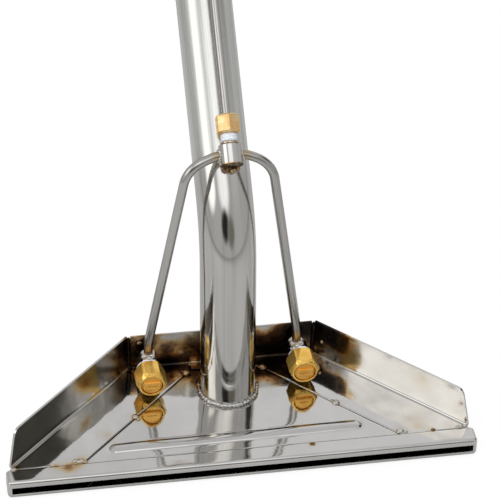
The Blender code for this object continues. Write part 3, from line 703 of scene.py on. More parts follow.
def make_deck_panel():
    """Middle panel, with finer rows and columns where the pressed bead runs."""
    rear = PANEL_REAR_Y - SEAM_HALF_GAP
    rows = stretch(
        (DECK_FRONT_Y, DECK_FRONT_Y + 1.2, 4),
        (DECK_FRONT_Y + 1.2, BEAD_Y - BEAD_FINE_REACH, 4),
        (BEAD_Y - BEAD_FINE_REACH, BEAD_Y + BEAD_FINE_REACH, 44),
        (BEAD_Y + BEAD_FINE_REACH, rear - 1.2, 50),
        (rear - 1.2, rear, 4),
    )
    inner = stretch((-1, -0.97, 2), (-0.97, -0.83, 36), (-0.83, 0.83, 104), (0.83, 0.97, 36), (0.97, 1, 2))
    points = []
    for y in rows:
        half = panel_half(y) - SEAM_HALF_GAP
        line = [-(half - e) for e in EDGE_ROWS] + [u * (half - 1.7) for u in inner]
        line += [half - e for e in reversed(EDGE_ROWS)]
        for x in line:
            side = (half - abs(x)) * math.sqrt(0.5)
            drop = edge_roll(side) + front_roll(y - DECK_FRONT_Y) + edge_roll(rear - y)
            points.append((x, y, DECK_TOP + deck_height(x, y) + drop))
    columns = len(points) // len(rows)

    def outside_tube(i, j):
        x, y, _ = points[i * columns + j]
        return math.hypot(x, y) > TUBE_RADIUS - 0.8

    faces = grid_faces(len(rows), columns, keep=outside_tube)
    mesh = raw_mesh("deck_panel", points, faces, tidy=False)
    changed(mesh, no_loose)
    thicken(finish_sheet("deck_panel", mesh, ["centre_panel"]), SHEET)


def thicken(piece, thickness, edge=0.15):
    """Sheet thickness behind the surface, with its cut edges eased."""
    piece.modifiers.remove(piece.modifiers["Weighted"])
    solid = piece.modifiers.new("Sheet", "SOLIDIFY")
    solid.thickness = thickness * MM
    solid.offset = -1.0
    solid.use_even_offset = True
    bevel = piece.modifiers.new("Eased", "BEVEL")
    bevel.width = edge * MM
    bevel.segments = 2
    bevel.limit_method = "ANGLE"
    bevel.angle_limit = math.radians(55)
    piece.modifiers.new("Weighted", "WEIGHTED_NORMAL").keep_sharp = True


def make_wing(side, word):
    """Deck part and folded-up side wall of one wing, as one sheet."""
    rear = REAR_WALL_Y - SHEET - 0.3
    slope = (DECK_HALF_REAR - DECK_HALF_FRONT) / (REAR_WALL_Y - FRONT_SEAM_Y)
    start = Vector((DECK_HALF_FRONT, FRONT_SEAM_Y + 0.3))
    end = Vector((DECK_HALF_FRONT + slope * (rear - FRONT_SEAM_Y), rear))
    along = (end - start).normalized()
    inward = Vector((-along.y, along.x))
    length = (end - start).length
    stations = stretch((WALL_FRONT_START, 8, 8), (8, length, 96))
    tangents = [start + along * s + inward * FOLD_RADIUS for s in stations]
    corner = Vector((DECK_HALF_FRONT - 1.0, DECK_FRONT_Y))
    bare = [corner, corner.lerp(tangents[0], 0.45)]
    shares = stretch((0, 0.04, 1), (0.04, 1, 44))
    rise = WALL_HEIGHT - FOLD_RADIUS
    climb = [(FOLD_RADIUS * (1 - s), FOLD_RADIUS * (1 - c)) for c, s in arc(0, math.pi / 2, 7)[1:]]
    climb += [(0.0, FOLD_RADIUS + h) for h in stretch((0, rise - 5, 14), (rise - 5, rise, 10))[1:]]

    def wall_point(station, back, up):
        """Point of the wall, whose front end is cut back and rounded at its top."""
        first = WALL_FRONT_START + (WALL_FRONT_CUTBACK - WALL_FRONT_START) * up / WALL_HEIGHT
        top = WALL_HEIGHT - up
        if top < WALL_CORNER:
            bulge = math.sqrt(max(0, WALL_CORNER**2 - (WALL_CORNER - top) ** 2))
            first += (WALL_CORNER - bulge) * 0.75
        share = (station - WALL_FRONT_START) / (length - WALL_FRONT_START)
        p = start + along * (first + share * (length - first)) + inward * (back - up * WALL_LEAN)
        return (p.x, p.y, DECK_TOP + up)

    rows = []
    for index, point in enumerate(bare + tangents):
        y = min(point.y, rear)
        left = panel_half(y) + SEAM_HALF_GAP
        line = [left + e for e in EDGE_ROWS] + [left + 1.6 + (point.x - left - 1.6) * t for t in shares]
        row = []
        for x in line:
            drop = edge_roll((x - left) * math.sqrt(0.5)) + front_roll(y - DECK_FRONT_Y)
            row.append((x, y, DECK_TOP + drop))
        deck_columns = len(row)
        if index < len(bare):
            row += [row[-1]] * len(climb)
        else:
            row += [wall_point(stations[index - len(bare)], back, up) for back, up in climb]
        rows.append(row)
    points = [(x * side, y, z) for row in rows for x, y, z in row]

    def real(i, j):
        return i >= len(bare) or j < deck_columns - 1

    name = word + "_side_sheet"
    mesh = raw_mesh(name, points, grid_faces(len(rows), len(rows[0]), keep=real), tidy=False)
    changed(mesh, merged, no_loose, facing_up(lambda f: f.calc_area() * abs(f.normal.z)))
    thicken(finish_sheet(name, mesh, [word + "_wing"]), SHEET)


def make_rear_sheet():
    """Rear wall with its fold, and the strip of deck behind the middle panel."""
    inner = REAR_WALL_Y - SHEET
    top = DECK_TOP + WALL_HEIGHT
    low = DECK_TOP - SHEET
    base = DECK_TOP + 0.03
    fold_y, fold_z = inner - FOLD_RADIUS, base + FOLD_RADIUS
    section = [(fold_y + FOLD_RADIUS * s, fold_z - FOLD_RADIUS * c) for c, s in arc(0, math.pi / 2, 8)]
    section += [(inner, fold_z + (WALL_HEIGHT - FOLD_RADIUS - 0.5) * t / 18) for t in range(1, 19)]
    rim = ((0.12, -0.12), (0.4, 0.0), (1.1, 0.0), (1.38, -0.12))
    section += [(inner + out, top + up) for out, up in rim]
    section += [(REAR_WALL_Y, top - 0.4 - (top - low - 0.4) * t / 12) for t in range(13)]
    section += [(inner, low), (inner, base)]
    ends = DECK_HALF_REAR - 0.3
    bar("rear_sheet", section, ends, WALL_LEAN * 0.75, ["rear_wall"])
    front, rear = PANEL_REAR_Y + 0.3, inner - 0.1
    corners = [(front, low), (rear, low), (rear, DECK_TOP), (front, DECK_TOP)]
    bar("rear_strip", rounded(corners, 0.3), PANEL_HALF_REAR - SEAM_HALF_GAP)


def bar(name, section, half, lean=0.0, replaces=()):
    """Sheet piece with one (y, z) section from side to side, whose ends lean outward as it rises."""
    rows = stretch((-half, half, 90))
    points = []
    for x in rows:
        for y, z in section:
            points.append((x * (1.0 + max(0.0, z - DECK_TOP) * lean / half), y, z))
    faces = grid_faces(len(rows), len(section), wrap_columns=True)
    faces += end_faces(len(rows), len(section))
    finish_sheet(name, raw_mesh(name, points, faces), replaces)


def rounded_box(name, low, high, radius, segments=3):
    """Box between two corners in millimetres, with rounded edges."""
    mesh = bpy.data.meshes.new(name)
    size = (Vector(high) - Vector(low)) * MM
    middle = (Vector(high) + Vector(low)) * MM / 2

    def shaped(shape):
        bmesh.ops.create_cube(shape, size=1.0)
        bmesh.ops.scale(shape, vec=size, verts=shape.verts)
        bmesh.ops.translate(shape, vec=middle, verts=shape.verts)
        bmesh.ops.bevel(
            shape, geom=shape.edges[:], offset=radius * MM, segments=segments, profile=0.5, affect="EDGES"
        )

    changed(mesh, shaped)
    return mesh


def make_lip():
    """Folded channel with the suction slot in its front, open at the back."""
    back = FRONT_SEAM_Y - 0.25
    radius = LIP_PLAN_RADIUS
    centre_x = LIP_HALF - radius
    centre_y = LIP_FRONT_Y + radius
    quarter = math.pi / 2
    runs = stretch((0, 1, 6))
    stations = [(-LIP_HALF, back + (centre_y - back) * t, -1.0, 0.0) for t in runs[:-1]]
    turn = arc(math.pi, 3 * quarter, 8)
    stations += [(radius * c - centre_x, centre_y + radius * s, c, s) for c, s in turn]
    left_corner = len(stations) - 1
    stations += [(x, LIP_FRONT_Y, 0.0, -1.0) for x in stretch((-centre_x, centre_x, 150))[1:-1]]
    right_corner = len(stations)
    stations += [(centre_x + radius * c, centre_y + radius * s, c, s) for c, s in arc(-quarter, 0.0, 8)]
    stations += [(LIP_HALF, centre_y + (back - centre_y) * t, 1.0, 0.0) for t in runs[1:]]
    section = [(LIP_BEND * (1 - s), LIP_BEND * (1 - c)) for c, s in arc(0, quarter, 7)]
    section += [(0.0, 3.0), (0.0, SLOT_BOTTOM)]
    slot_row = len(section) - 1
    section += [(0.0, SLOT_TOP), (0.0, 9.8)]
    section += [(LIP_BEND * (1 - c), DECK_TOP - LIP_BEND * (1 - s)) for c, s in arc(0, quarter, 9)]
    points = []
    for x, y, nx, ny in stations:
        points += [(x - nx * inward, y - ny * inward, z) for inward, z in section]
    size = len(section)

    def solid(i, j):
        return not (j == slot_row and left_corner <= i < right_corner)

    faces = grid_faces(len(stations), size, keep=solid)
    middle = range(left_corner, right_corner + 1)
    for row, z in ((size - 1, DECK_TOP), (0, 0.0)):
        lines = [[i * size + row for i in middle]]
        for y in stretch((LIP_FRONT_Y + LIP_BEND, back - 1.0, 6), (back - 1.0, back, 3))[1:]:
            drop = front_roll(back - y) if row else 0.0
            lines.append(list(range(len(points), len(points) + len(middle))))
            points += [(points[i * size + row][0], y, z + drop) for i in middle]
        for near, far in zip(lines, lines[1:]):
            faces += [(near[a], near[a + 1], far[a + 1], far[a]) for a in range(len(middle) - 1)]
        left_end = [i * size + row for i in range(left_corner + 1)]
        right_end = [i * size + row for i in range(right_corner, len(stations))]
        faces.append(tuple(left_end + [line[0] for line in lines][1:]))
        faces.append(tuple(right_end + [line[-1] for line in lines][:0:-1]))
    mesh = raw_mesh("lip_channel", points, faces)
    changed(mesh, facing_up(lambda f: f.calc_center_median().z))
    lip = finish_sheet("lip_channel", mesh, ["suction_lip"])
    thicken(lip, LIP_SHEET, 0.4)
    # The channel's inside takes the near-black steel: painted shade in the hollow behind the slot.
    lip.data.materials.append(DARK_STEEL)
    lip.modifiers["Sheet"].material_offset = 1


def make_lip_tabs():
    """Tabs in near-black painted shade that close the small openings behind the slot's ends."""
    for side, word in SIDES:
        name = word + "_lip_tab"
        low, high = zip(*(sorted(side * x for x in LIP_TAB_X), LIP_TAB_Y, LIP_TAB_Z))
        finish_piece(name, rounded_box(name, low, high, 0.2, 2), DARK_STEEL)


# ---------------------------------------------------------------- tubes


def make_suction_tube():
    low = Vector((0, 0, DECK_TOP)) - LOWER_AXIS * 1.7
    route = fillet([low, TUBE_CORNER, upper_point(UPPER_LENGTH)], [BEND_RADIUS], 56)
    first = low + LOWER_AXIS * 6.0
    route = [low, first] + spaced([first] + route[1:], 4.0)[1:]
    bore = TUBE_RADIUS - TUBE_WALL
    points, faces, straight = swept(route, TUBE_RADIUS, bore, 112, Vector((0, 1, 0)), DECK_TOP - SHEET)
    heat_and_shade = []
    for p in points:
        near = max(0.0, 1 - (p[2] - DECK_TOP) / 10.0)
        behind = min(1.0, max(0.0, 0.75 + p[1] / 25.0))
        heat_and_shade.append(max(0.0, behind * near * (0.30 * near + 0.14 * noise.noise(Vector(p) * 0.2))))
    mesh = raw_mesh("suction_tube_skin", points, faces, straight, heat_and_shade)
    finish_piece("suction_tube_skin", mesh, TUBE_STEEL, replaces=["suction_tube"])


def make_small_tube(name, route, across, replaced, heated=None):
    """Quarter inch tube along a route, with a heat value for each point."""
    points, faces, straight = swept(route, LINE_RADIUS, LINE_RADIUS - LINE_WALL, 32, across)
    heat_and_shade = [heated(Vector(p)) for p in points] if heated else 0.0
    mesh = raw_mesh(name, points, faces, straight, heat_and_shade)
    finish_piece(name, mesh, PIPE_STEEL, replaces=[replaced])


def make_line_tube():
    route = spaced([line_point(LINE_START), line_point(LINE_END)], 4.0)
    make_small_tube("solution_line", route, Vector((1, 0, 0)), "solution_tube")


def jet_route(side):
    """Route of a jet tube from its port, over its shoulder and down into its boss."""
    across, depth, height = JET_SHOULDER
    corners = [
        PORT_MIDDLE + Vector((side * 5.6, 0, 0)),
        PORT_MIDDLE + Vector((side * 10.6, 0, 0)),
        Vector((side * across + JET_SHOULDER_SHIFT_X, depth, height)),
        boss_point(side, JET_BOSS_TOP + 8),
        boss_point(side, JET_BOSS_TOP - 3),
    ]
    return spaced(fillet(corners, JET_BENDS, 14), 3.0)


def make_jet_pipe(side, word):
    """Jet tube, tinted by welding where it enters its boss and the manifold."""
    seat = boss_point(side, JET_BOSS_TOP)
    top = PORT_MIDDLE + Vector((side * 9, 0, 0))

    def heated(point):
        return 0.38 * max(falloff((point - seat).length / 9), falloff((point - top).length / 6) * 0.7)

    make_small_tube(word + "_jet_pipe", jet_route(side), Vector((0, 0, 1)), word + "_jet_tube", heated)


# ---------------------------------------------------------------- welds


def blob(centre, size, seed, rings=10, sides=16, bump=0.22):
    """Lump of weld metal, as points and faces."""
    points = []
    for i in range(rings + 1):
        polar = math.pi * i / rings
        for _, c, s in circle(sides):
            d = Vector((math.sin(polar) * c, math.sin(polar) * s, math.cos(polar)))
            swell = 1 + bump * noise.noise(d * 1.7 + Vector((seed, seed * 0.7, 3)))
            points.append(tuple(Vector(centre) + Vector([a * b * swell for a, b in zip(d, size)])))
    return points, grid_faces(rings + 1, sides, wrap_columns=True)


def joined(parts):
    """Points and faces of several parts as one."""
    points, faces = [], []
    for some_points, some_faces in parts:
        faces += [tuple(i + len(points) for i in face) for face in some_faces]
        points += some_points
    return points, faces


def make_lumps(name, parts, heat_and_shade, replaces=()):
    """Weld piece from several lumps."""
    points, faces = joined(parts)
    mesh = raw_mesh(name, points, faces, heat_and_shade=heat_and_shade)
    changed(mesh, merged, outward)
    finish_weld(name, mesh, replaces)


# Small tacks on seams and walls: centre, half sizes and tint-and-shade level; the two in the rear corners
# run near black, painted shade.
SEAM_TACKS = [
    ((-26.4, 18.6, 14.1), (3.2, 2.5, 1.7), 0.33),
    ((-28.6, 20.6, 13.8), (1.6, 1.6, 0.9), 0.45),
    ((27.2, 17.8, 14.2), (3.3, 2.8, 2.0), 0.37),
    ((24.6, 20.0, 13.8), (1.8, 1.4, 0.9), 0.45),
    ((-67.3, -22.1, 13.9), (2.4, 2.3, 1.1), 0.16),
    ((-65.6, -24.6, 13.7), (1.4, 1.2, 0.8), 0.22),
    ((71.1, -26.1, 13.9), (2.6, 2.5, 1.1), 0.10),
    ((69.2, -24.0, 13.7), (1.3, 1.3, 0.8), 0.20),
    ((-109.6, -61.5, 13.8), (2.8, 2.0, 1.0), 0.12),
    ((-106.2, -62.4, 13.6), (1.8, 1.3, 0.8), 0.25),
    ((-112.6, -60.4, 13.6), (1.9, 1.5, 0.8), 0.10),
    ((108.4, -61.2, 13.8), (2.8, 2.2, 1.0), 0.08),
    ((111.8, -62.2, 13.6), (1.8, 1.2, 0.8), 0.14),
    ((-130.6, -63.6, 13.6), (1.4, 1.2, 0.7), 0.20),
    ((-154.0, -63.4, 13.7), (2.2, 1.4, 0.9), 0.12),
    ((131.1, -62.6, 13.6), (1.6, 1.3, 0.8), 0.42),
    ((149.5, -62.2, 13.8), (2.8, 1.6, 1.0), 0.10),
    ((153.6, -61.4, 13.7), (2.0, 1.5, 1.0), 0.14),
    ((46.9, -65.5, 13.5), (1.7, 1.4, 0.35), 0.50),
    ((-64.6, 30.0, 14.0), (2.6, 1.6, 1.9), 0.80),
    ((64.6, 30.0, 14.0), (2.6, 1.6, 1.9), 0.80),
    ((-57.5, 30.1, 35.0), (1.9, 0.5, 1.3), 0.30),
    ((51.0, 30.1, 37.0), (1.2, 0.4, 0.9), 0.28),
    ((70.3, 23.9, 27.3), (1.3, 1.3, 1.3), 0.26),
]


def make_tacks():
    parts, heat_and_shade = [], []
    for index, (centre, size, heat_and_shade_level) in enumerate(SEAM_TACKS):
        parts.append(blob(centre, size, 11 + index * 3.1))
        heat_and_shade += [heat_and_shade_level] * len(parts[-1][0])
    make_lumps("seam_tacks", parts, heat_and_shade)


def weld_rope(path, radius, name, heat_and_shade_level, ripple=1.0, closed=False, replaces=(), seed=0.0):
    """Rippled weld bead along a path of points; the tint-and-shade level is a value or a function of the
    point.
    """
    sides = 12
    points = []
    count = len(path)
    for i, point in enumerate(path):
        before = path[i - 1] if i or closed else path[0]
        after = path[(i + 1) % count] if closed or i < count - 1 else path[-1]
        ahead = (after - before).normalized()
        up = Vector((0, 0, 1)) if abs(ahead.z) < 0.9 else Vector((0, -1, 0))
        across = ahead.cross(up).normalized()
        up = across.cross(ahead)
        taper = 1.0
        if not closed:
            taper = min(1.0, 0.15 + 1.4 * min(i, count - 1 - i) / max(4, count * 0.12))
        for angle, c, s in circle(sides):
            lump = 1 + 0.16 * ripple * math.sin(i * 1.15 + 1.2 * c)
            lump += 0.45 * ripple * noise.noise(point * 0.45 + Vector((seed, angle * 0.4, 0)))
            points.append(tuple(point + (across * c + up * s) * radius * lump * taper))
    faces = grid_faces(count, sides, wrap_rows=closed, wrap_columns=True)
    if not closed:
        faces += end_faces(count, sides)
    heat_and_shade = []
    for p in points:
        level = heat_and_shade_level(p) if callable(heat_and_shade_level) else heat_and_shade_level
        heat_and_shade.append(max(0.0, level + 0.25 * noise.noise(Vector(p) * 0.3)))
    finish_weld(name, raw_mesh(name, points, faces, heat_and_shade=heat_and_shade), replaces)


def make_foot_weld():
    """Bead round the suction tube's foot, hotter towards the back."""
    ring = []
    for _, c, s in circle(260):
        radius = TUBE_RADIUS + 1.1 + 0.75 * noise.noise(Vector((c, s, 0)) * 5)
        lift = 0.40 * noise.noise(Vector((c, s, 5)) * 5)
        ring.append(Vector((radius * c, 0.3 + radius * 1.01 * s, DECK_TOP + 0.5 + lift)))

    def heat_and_shade_level(point):
        return min(0.85, max(-0.10, 0.22 + point[1] * 0.035))

    weld_rope(ring, 1.25, "foot_weld_bead", heat_and_shade_level, 0.75, closed=True, replaces=["tube_weld"])


def make_corner_welds():
    """Beads up the two rear corners, and short ones along the rear wall's foot."""
    corner_x, corner_y, foot_y = DECK_HALF_REAR + 1.0, REAR_WALL_Y - 1.3, REAR_WALL_Y - 2.5
    rise = stretch((0.6, WALL_HEIGHT - 0.2, 70))
    for side, word in SIDES:
        path = [Vector((side * (corner_x + up * WALL_LEAN * 0.7), corner_y, DECK_TOP + up)) for up in rise]
        # Their high level takes the corner beads near black: painted shade in the corners.
        weld_rope(path, 1.55, word + "_corner_weld", 0.85, ripple=0.35, seed=side)
        path = [Vector((side * x, foot_y, DECK_TOP + 0.5)) for x in stretch((51.5, 63.5, 30))]
        weld_rope(path, 0.9, word + "_rear_seam_weld", 0.80, ripple=0.8, seed=3 + side)


# Lumps under the manifold: place across, along and away from the tube, size and heat.
MANIFOLD_LUMPS = [
    ((-3.2, -1.2, 0.0), (2.1, 1.5, 2.0), 0.44),
    ((1.6, -1.9, 0.2), (2.2, 1.6, 2.1), 0.30),
    ((4.9, -0.4, -0.2), (1.6, 1.3, 1.7), 0.42),
    ((-0.6, -0.2, 0.0), (4.4, 1.4, 1.6), 0.55),
]


def make_manifold_weld():
    seat = upper_point(BLOCK_START) + UPPER_FRONT * (TUBE_RADIUS + 1.4)
    parts, heat_and_shade = [], []
    for index, ((x, along, front), size, heat_and_shade_level) in enumerate(MANIFOLD_LUMPS):
        centre = seat + Vector((LINE_SHIFT_X + x, 0, 0)) + UPPER_AXIS * along + UPPER_FRONT * front
        parts.append(blob(centre, size, 40 + index * 2.3, 14, 20))
        heat_and_shade += [heat_and_shade_level + 0.12 * noise.noise(Vector(p) * 0.8) for p in parts[-1][0]]
    make_lumps("manifold_weld_bead", parts, heat_and_shade, ["manifold_weld"])


# ---------------------------------------------------------------- fittings


def make_manifold():
    """Block with a collar on top and a welded port on each side."""
    top = BLOCK_LENGTH + COLLAR_LENGTH
    bore = 4.9
    profile = [(bore, top), (COLLAR_RADIUS, top), (COLLAR_RADIUS, BLOCK_LENGTH)]
    profile += [(BLOCK_RADIUS, z) for z in (BLOCK_LENGTH, BLOCK_LENGTH - 2.2, BLOCK_LENGTH / 2, 2.4, 0.0)]
    profile += [(0.4, 0.0), (0.4, 3.0), (bore, 3.0)]
    points, faces = turned(rounded(profile, 0.55, 4), 72)
    heat_and_shade = []
    for x, y, z in points:
        rim = falloff(z / 0.8) * 0.60
        collar = falloff((z - BLOCK_LENGTH - 0.4) / 0.6) * 0.45
        heat_and_shade.append(max(rim, collar) * (1 + 0.6 * noise.noise(Vector((x, y, z)) * 0.5)))
    mesh = raw_mesh("manifold_body", points, faces, heat_and_shade=heat_and_shade, place=on_line(BLOCK_START))
    finish_piece("manifold_body", mesh, FITTING_STEEL, replaces=["manifold_block"])
    reach = LINE_RADIUS + 0.35
    for side, word in SIDES:
        ring = []
        for _, c, s in circle(48):
            depth = math.sqrt(BLOCK_RADIUS**2 - (s * reach) ** 2) + 0.25
            out = (UPPER_AXIS * c + UPPER_FRONT * s) * reach
            ring.append(PORT_MIDDLE + out + Vector((side * depth, 0, 0)))
        weld_rope(ring, 0.95, word + "_port_weld", 0.10, ripple=1.3, closed=True, seed=8 + side)


def hex_radius(angle, flats, corner=0.6):
    """Radius of a hexagon with slightly rounded corners, its corner at angle 0."""
    step = math.pi / 3
    local = abs(((angle + step / 2) % step) - step / 2)
    flat = flats / 2 / math.cos(math.pi / 6 - local)
    limit = flats / math.sqrt(3) - corner * 0.35
    return -math.log(math.exp(-flat / 0.10) + math.exp(-limit / 0.10)) * 0.10


def make_hex(name, flats, rows, bore, turn, place, material, replaces, body="head"):
    """Hexagonal nut: rows of (height, crown radius) outside, then bore points."""
    points = []
    for angle, _, _ in circle(HEX_SIDES):
        radii = [(min(hex_radius(angle, flats), crown), height) for height, crown in rows]
        c, s = math.cos(angle + turn), math.sin(angle + turn)
        points.append([(r * c, r * s, height) for r, height in radii + bore])
    points = [p for row in zip(*points) for p in row]
    faces = grid_faces(len(rows) + len(bore), HEX_SIDES, wrap_rows=True, wrap_columns=True)
    mesh = raw_mesh(name, points, faces, heat_and_shade=0.0, place=place)
    finish_piece(name, mesh, material, body=body, replaces=replaces, sharp=50)


def make_inlet():
    """Brass adapter on the solution line, and the tape between it and the manifold."""
    corner = HEX_FLATS / math.sqrt(3)
    rows = [(0.0, corner - 2.6), (0.05, corner - 1.9), (0.9, corner + 0.2)]
    rows += [(h, corner + 1) for h in (1.4, 3.5, 6.2, 9.0, 11.0)]
    rows += [(11.6, corner + 0.2), (HEX_LENGTH - 0.05, corner - 1.6), (HEX_LENGTH, corner - 2.3)]
    bore = [(3.5, HEX_LENGTH), (3.5, 3.0), (2.4, 3.0), (2.4, -10.0), (4.3, -10.0), (4.7, -9.6), (4.7, 0.0)]
    place = on_line(HEX_START)
    make_hex("inlet_hex", HEX_FLATS, rows, bore, HEX_TURN, place, PALE_BRASS, ["inlet_adapter"])
    make_wrap("inlet_tape", 5.0, 5.75, 0.0, TAPE_LENGTH, on_line(TAPE_START), ["adapter_tape"])


def make_wrap(name, inner, outer, low, high, place, replaces):
    """Wound tape: a ring with small uneven ridges where the turns lap."""
    count = 18
    profile = [(inner, high), (inner + 0.1, high)]
    for k in range(count + 1):
        t = k / count
        ease = min(1.0, 6 * min(t, 1 - t) + 0.35) * (0.88 + 0.12 * math.sin(t * 19))
        profile.append((inner + (outer - inner) * ease, high + (low - high) * t))
    profile += [(inner + 0.1, low), (inner, low)]

    def swell(angle, radius, height):
        if radius < inner + 0.15:
            return 1.0
        lap = noise.noise(Vector((math.cos(angle) * 1.5, math.sin(angle) * 1.5, height * 0.9)))
        return 1.0 + 0.028 * lap - 0.012

    points, faces = turned(profile, 64, swell)
    mesh = raw_mesh(name, points, faces, heat_and_shade=0.0, place=place)
    finish_piece(name, mesh, TAPE, replaces=replaces, sharp=60)


def make_jet(side, word):
    """Jet body, its tape, its screw cap and the spray tip inside the cap."""
    place = jet_place(side)
    make_elbow(side, word, place)
    make_wrap(word + "_jet_wrap", JET_NOSE_RADIUS + 0.3, 8.7, -2.9, -0.2, place, [word + "_jet_tape"])
    make_cap(word, place)
    make_tip(word, place)


def make_cap(word, place):
    corner = CAP_FLATS / math.sqrt(3)
    front = CAP_LENGTH
    rows = [(0.0, corner - 1.7), (0.15, corner - 1.2), (0.8, corner - 0.35), (1.6, corner + 0.4)]
    rows += [(h, corner + 1) for h in (2.4, 5.0, 8.0, 10.0, 11.4)]
    rows += [(12.2, corner + 0.15), (13.0, corner - 0.55), (13.9, corner - 1.35), (14.8, corner - 2.15)]
    rows += [(15.5, CAP_MOUTH + 1.45), (15.85, CAP_MOUTH + 1.05), (front, CAP_MOUTH + 0.55)]
    bore = [(CAP_MOUTH + 0.25, front - 0.05), (CAP_MOUTH, front - 0.4), (CAP_MOUTH, 11.7)]
    bore += [(CAP_BORE, 11.7), (CAP_BORE, 1.0), (CAP_BORE + 0.5, 0.0)]
    name, body = word + "_screw_cap", word + "_cap"
    make_hex(name, CAP_FLATS, rows, bore, 0.0, place, BRASS, [word + "_jet_cap"], body)


def make_tip(word, place):
    """Flanged disc with a raised bar across it, slit for the spray."""
    disc = [(0.9, 8.7), (0.9, 15.0), (7.0, 15.0), (7.0, 11.3), (8.0, 11.3), (8.0, 8.7)]
    points, faces = turned(rounded(disc, 0.35, 3), 64)
    name, body = word + "_nozzle_disc", word + "_tip"
    mesh = raw_mesh(name, points, faces, heat_and_shade=0.0, place=place)
    finish_piece(name, mesh, TIP_BRASS, body=body, replaces=[word + "_spray_tip"])
    name = word + "_nozzle_bar"
    raised = rounded_box(name, (-6.0, -3.1, 12.0), (6.0, 3.1, CAP_LENGTH + 0.4), 0.7, 4)
    slit = rounded_box(word + "_slit", (-3.4, -0.35, 15.6), (3.4, 0.35, 18), 0.1, 1)
    raised = cut(raised, slit)
    raised.transform(moved_to(place))
    finish_piece(name, raised, TIP_BRASS, body=body)


def applied(piece):
    """The piece's mesh with its modifiers applied; the piece itself is removed."""
    bpy.context.view_layer.update()
    result = bpy.data.meshes.new_from_object(piece.evaluated_get(bpy.context.evaluated_depsgraph_get()))
    bpy.data.objects.remove(piece)
    return result


def cut(mesh, other, operation="DIFFERENCE"):
    """Boolean of two meshes."""
    piece, tool = linked("cut_piece", mesh), linked("cut_tool", other)
    step = piece.modifiers.new("Cut", "BOOLEAN")
    step.operation = operation
    step.solver = "EXACT"
    step.object = tool
    result = applied(piece)
    bpy.data.objects.remove(tool)
    return result


def fused(points, faces, voxel, smooth):
    """One skin round overlapping closed shapes, smoothed like cast or welded metal."""
    mesh = bpy.data.meshes.new("fused")
    mesh.from_pydata([tuple(Vector(p) * MM) for p in points], [], faces)
    changed(mesh, outward)
    piece = linked("fused", mesh)
    remesh = piece.modifiers.new("Remesh", "REMESH")
    remesh.mode = "VOXEL"
    remesh.voxel_size = voxel * MM
    ease = piece.modifiers.new("Smooth", "SMOOTH")
    ease.factor = 0.5
    ease.iterations = smooth
    return applied(piece)


def turned_solid(profile, sides, place):
    """Closed solid of revolution in metres, whose profile starts and ends on its axis."""
    points, faces = turned(profile, sides, close=False)
    mesh = bpy.data.meshes.new("turned_solid")
    mesh.from_pydata([tuple(place @ Vector(p) * MM) for p in points], [], faces)
    changed(mesh, merged, outward)
    return mesh


# Lumps of weld round the boss: place from the boss's foot, and size.
BOSS_LUMPS = [
    ((-3.0, -2.6, 9.2), (2.4, 2.2, 2.0)),
    ((2.6, -2.8, 9.6), (2.5, 2.2, 1.9)),
    ((0.2, -3.9, 7.6), (2.6, 2.0, 2.4)),
    ((3.6, 0.6, 9.0), (2.0, 2.2, 2.0)),
    ((-3.7, 0.8, 8.8), (2.0, 2.2, 2.0)),
    ((0.0, 3.4, 9.0), (2.6, 2.0, 2.0)),
    ((-2.6, -4.0, 5.6), (2.4, 2.2, 2.2)),
    ((2.7, -4.2, 5.4), (2.4, 2.4, 2.4)),
    ((0.0, 2.0, 5.0), (4.6, 4.4, 2.6)),
]


def make_elbow(side, word, place):
    """Jet body: short barrel with a lumpy welded boss round the jet tube's end."""
    back, axis = -JET_BODY_BACK, 0.01
    barrel = [(axis, -3.0), (JET_BODY_RADIUS, -3.0), (JET_BODY_RADIUS, back + 1.2)]
    barrel = rounded(barrel + [(JET_BODY_RADIUS - 1.2, back), (axis, back)], 0.8, 4, closed=False)
    rod = [(axis, JET_BOSS_TOP), (JET_BOSS_RADIUS, JET_BOSS_TOP), (JET_BOSS_RADIUS, 0), (axis, 0)]
    foot = Matrix.Translation(boss_point(side, 0))
    parts = []
    for profile, sides, where in ((barrel, 40, place), (rod, 32, foot)):
        points, faces = turned(profile, sides)
        parts.append(([tuple(where @ Vector(p)) for p in points], faces))
    for index, (centre, size) in enumerate(BOSS_LUMPS):
        parts.append(blob(foot @ Vector(centre), size, 60 + 5 * index + side, 10, 16, 0.3))
    skin = fused(*joined(parts), 0.42, 3)
    nose = [(0, JET_NOSE_LENGTH), (JET_NOSE_RADIUS, JET_NOSE_LENGTH), (JET_NOSE_RADIUS, -2.9)]
    nose += [(JET_BODY_RADIUS - 0.2, -3.4), (0, -3.4)]
    skin = cut(skin, turned_solid(rounded(nose, 0.3, 2, False), 48, place), "UNION")
    bore = [(0, 8), (JET_BORE, 8), (JET_BORE, -7), (0, -7)]
    skin = cut(skin, turned_solid(bore, 40, place))
    top = boss_point(side, JET_BOSS_TOP - 1)
    heat_and_shade = []
    for vertex in skin.vertices:
        p = vertex.co / MM
        heat_and_shade.append(max(0.0, 0.16 * falloff((p - top).length / 5.0) + 0.22 * noise.noise(p * 0.35)))
    heat_and_shade_level = skin.attributes.get("heat_and_shade_level") or skin.attributes.new("heat_and_shade_level", "FLOAT", "POINT")
    heat_and_shade_level.data.foreach_set("value", np.array(heat_and_shade, np.float32))
    name, replaced = word + "_jet_elbow", [word + "_jet_body"]
    finish_piece(name, skin, WELD_BODY, replaces=replaced, weighted=False, sharp=70)


# ---------------------------------------------------------------- carried-over CAD nodes


def dress(material, *nodes):
    """Give CAD nodes that are shown as they are their material."""
    for node in nodes:
        slots = NODES[node].data.materials
        slots.clear()
        slots.append(material)


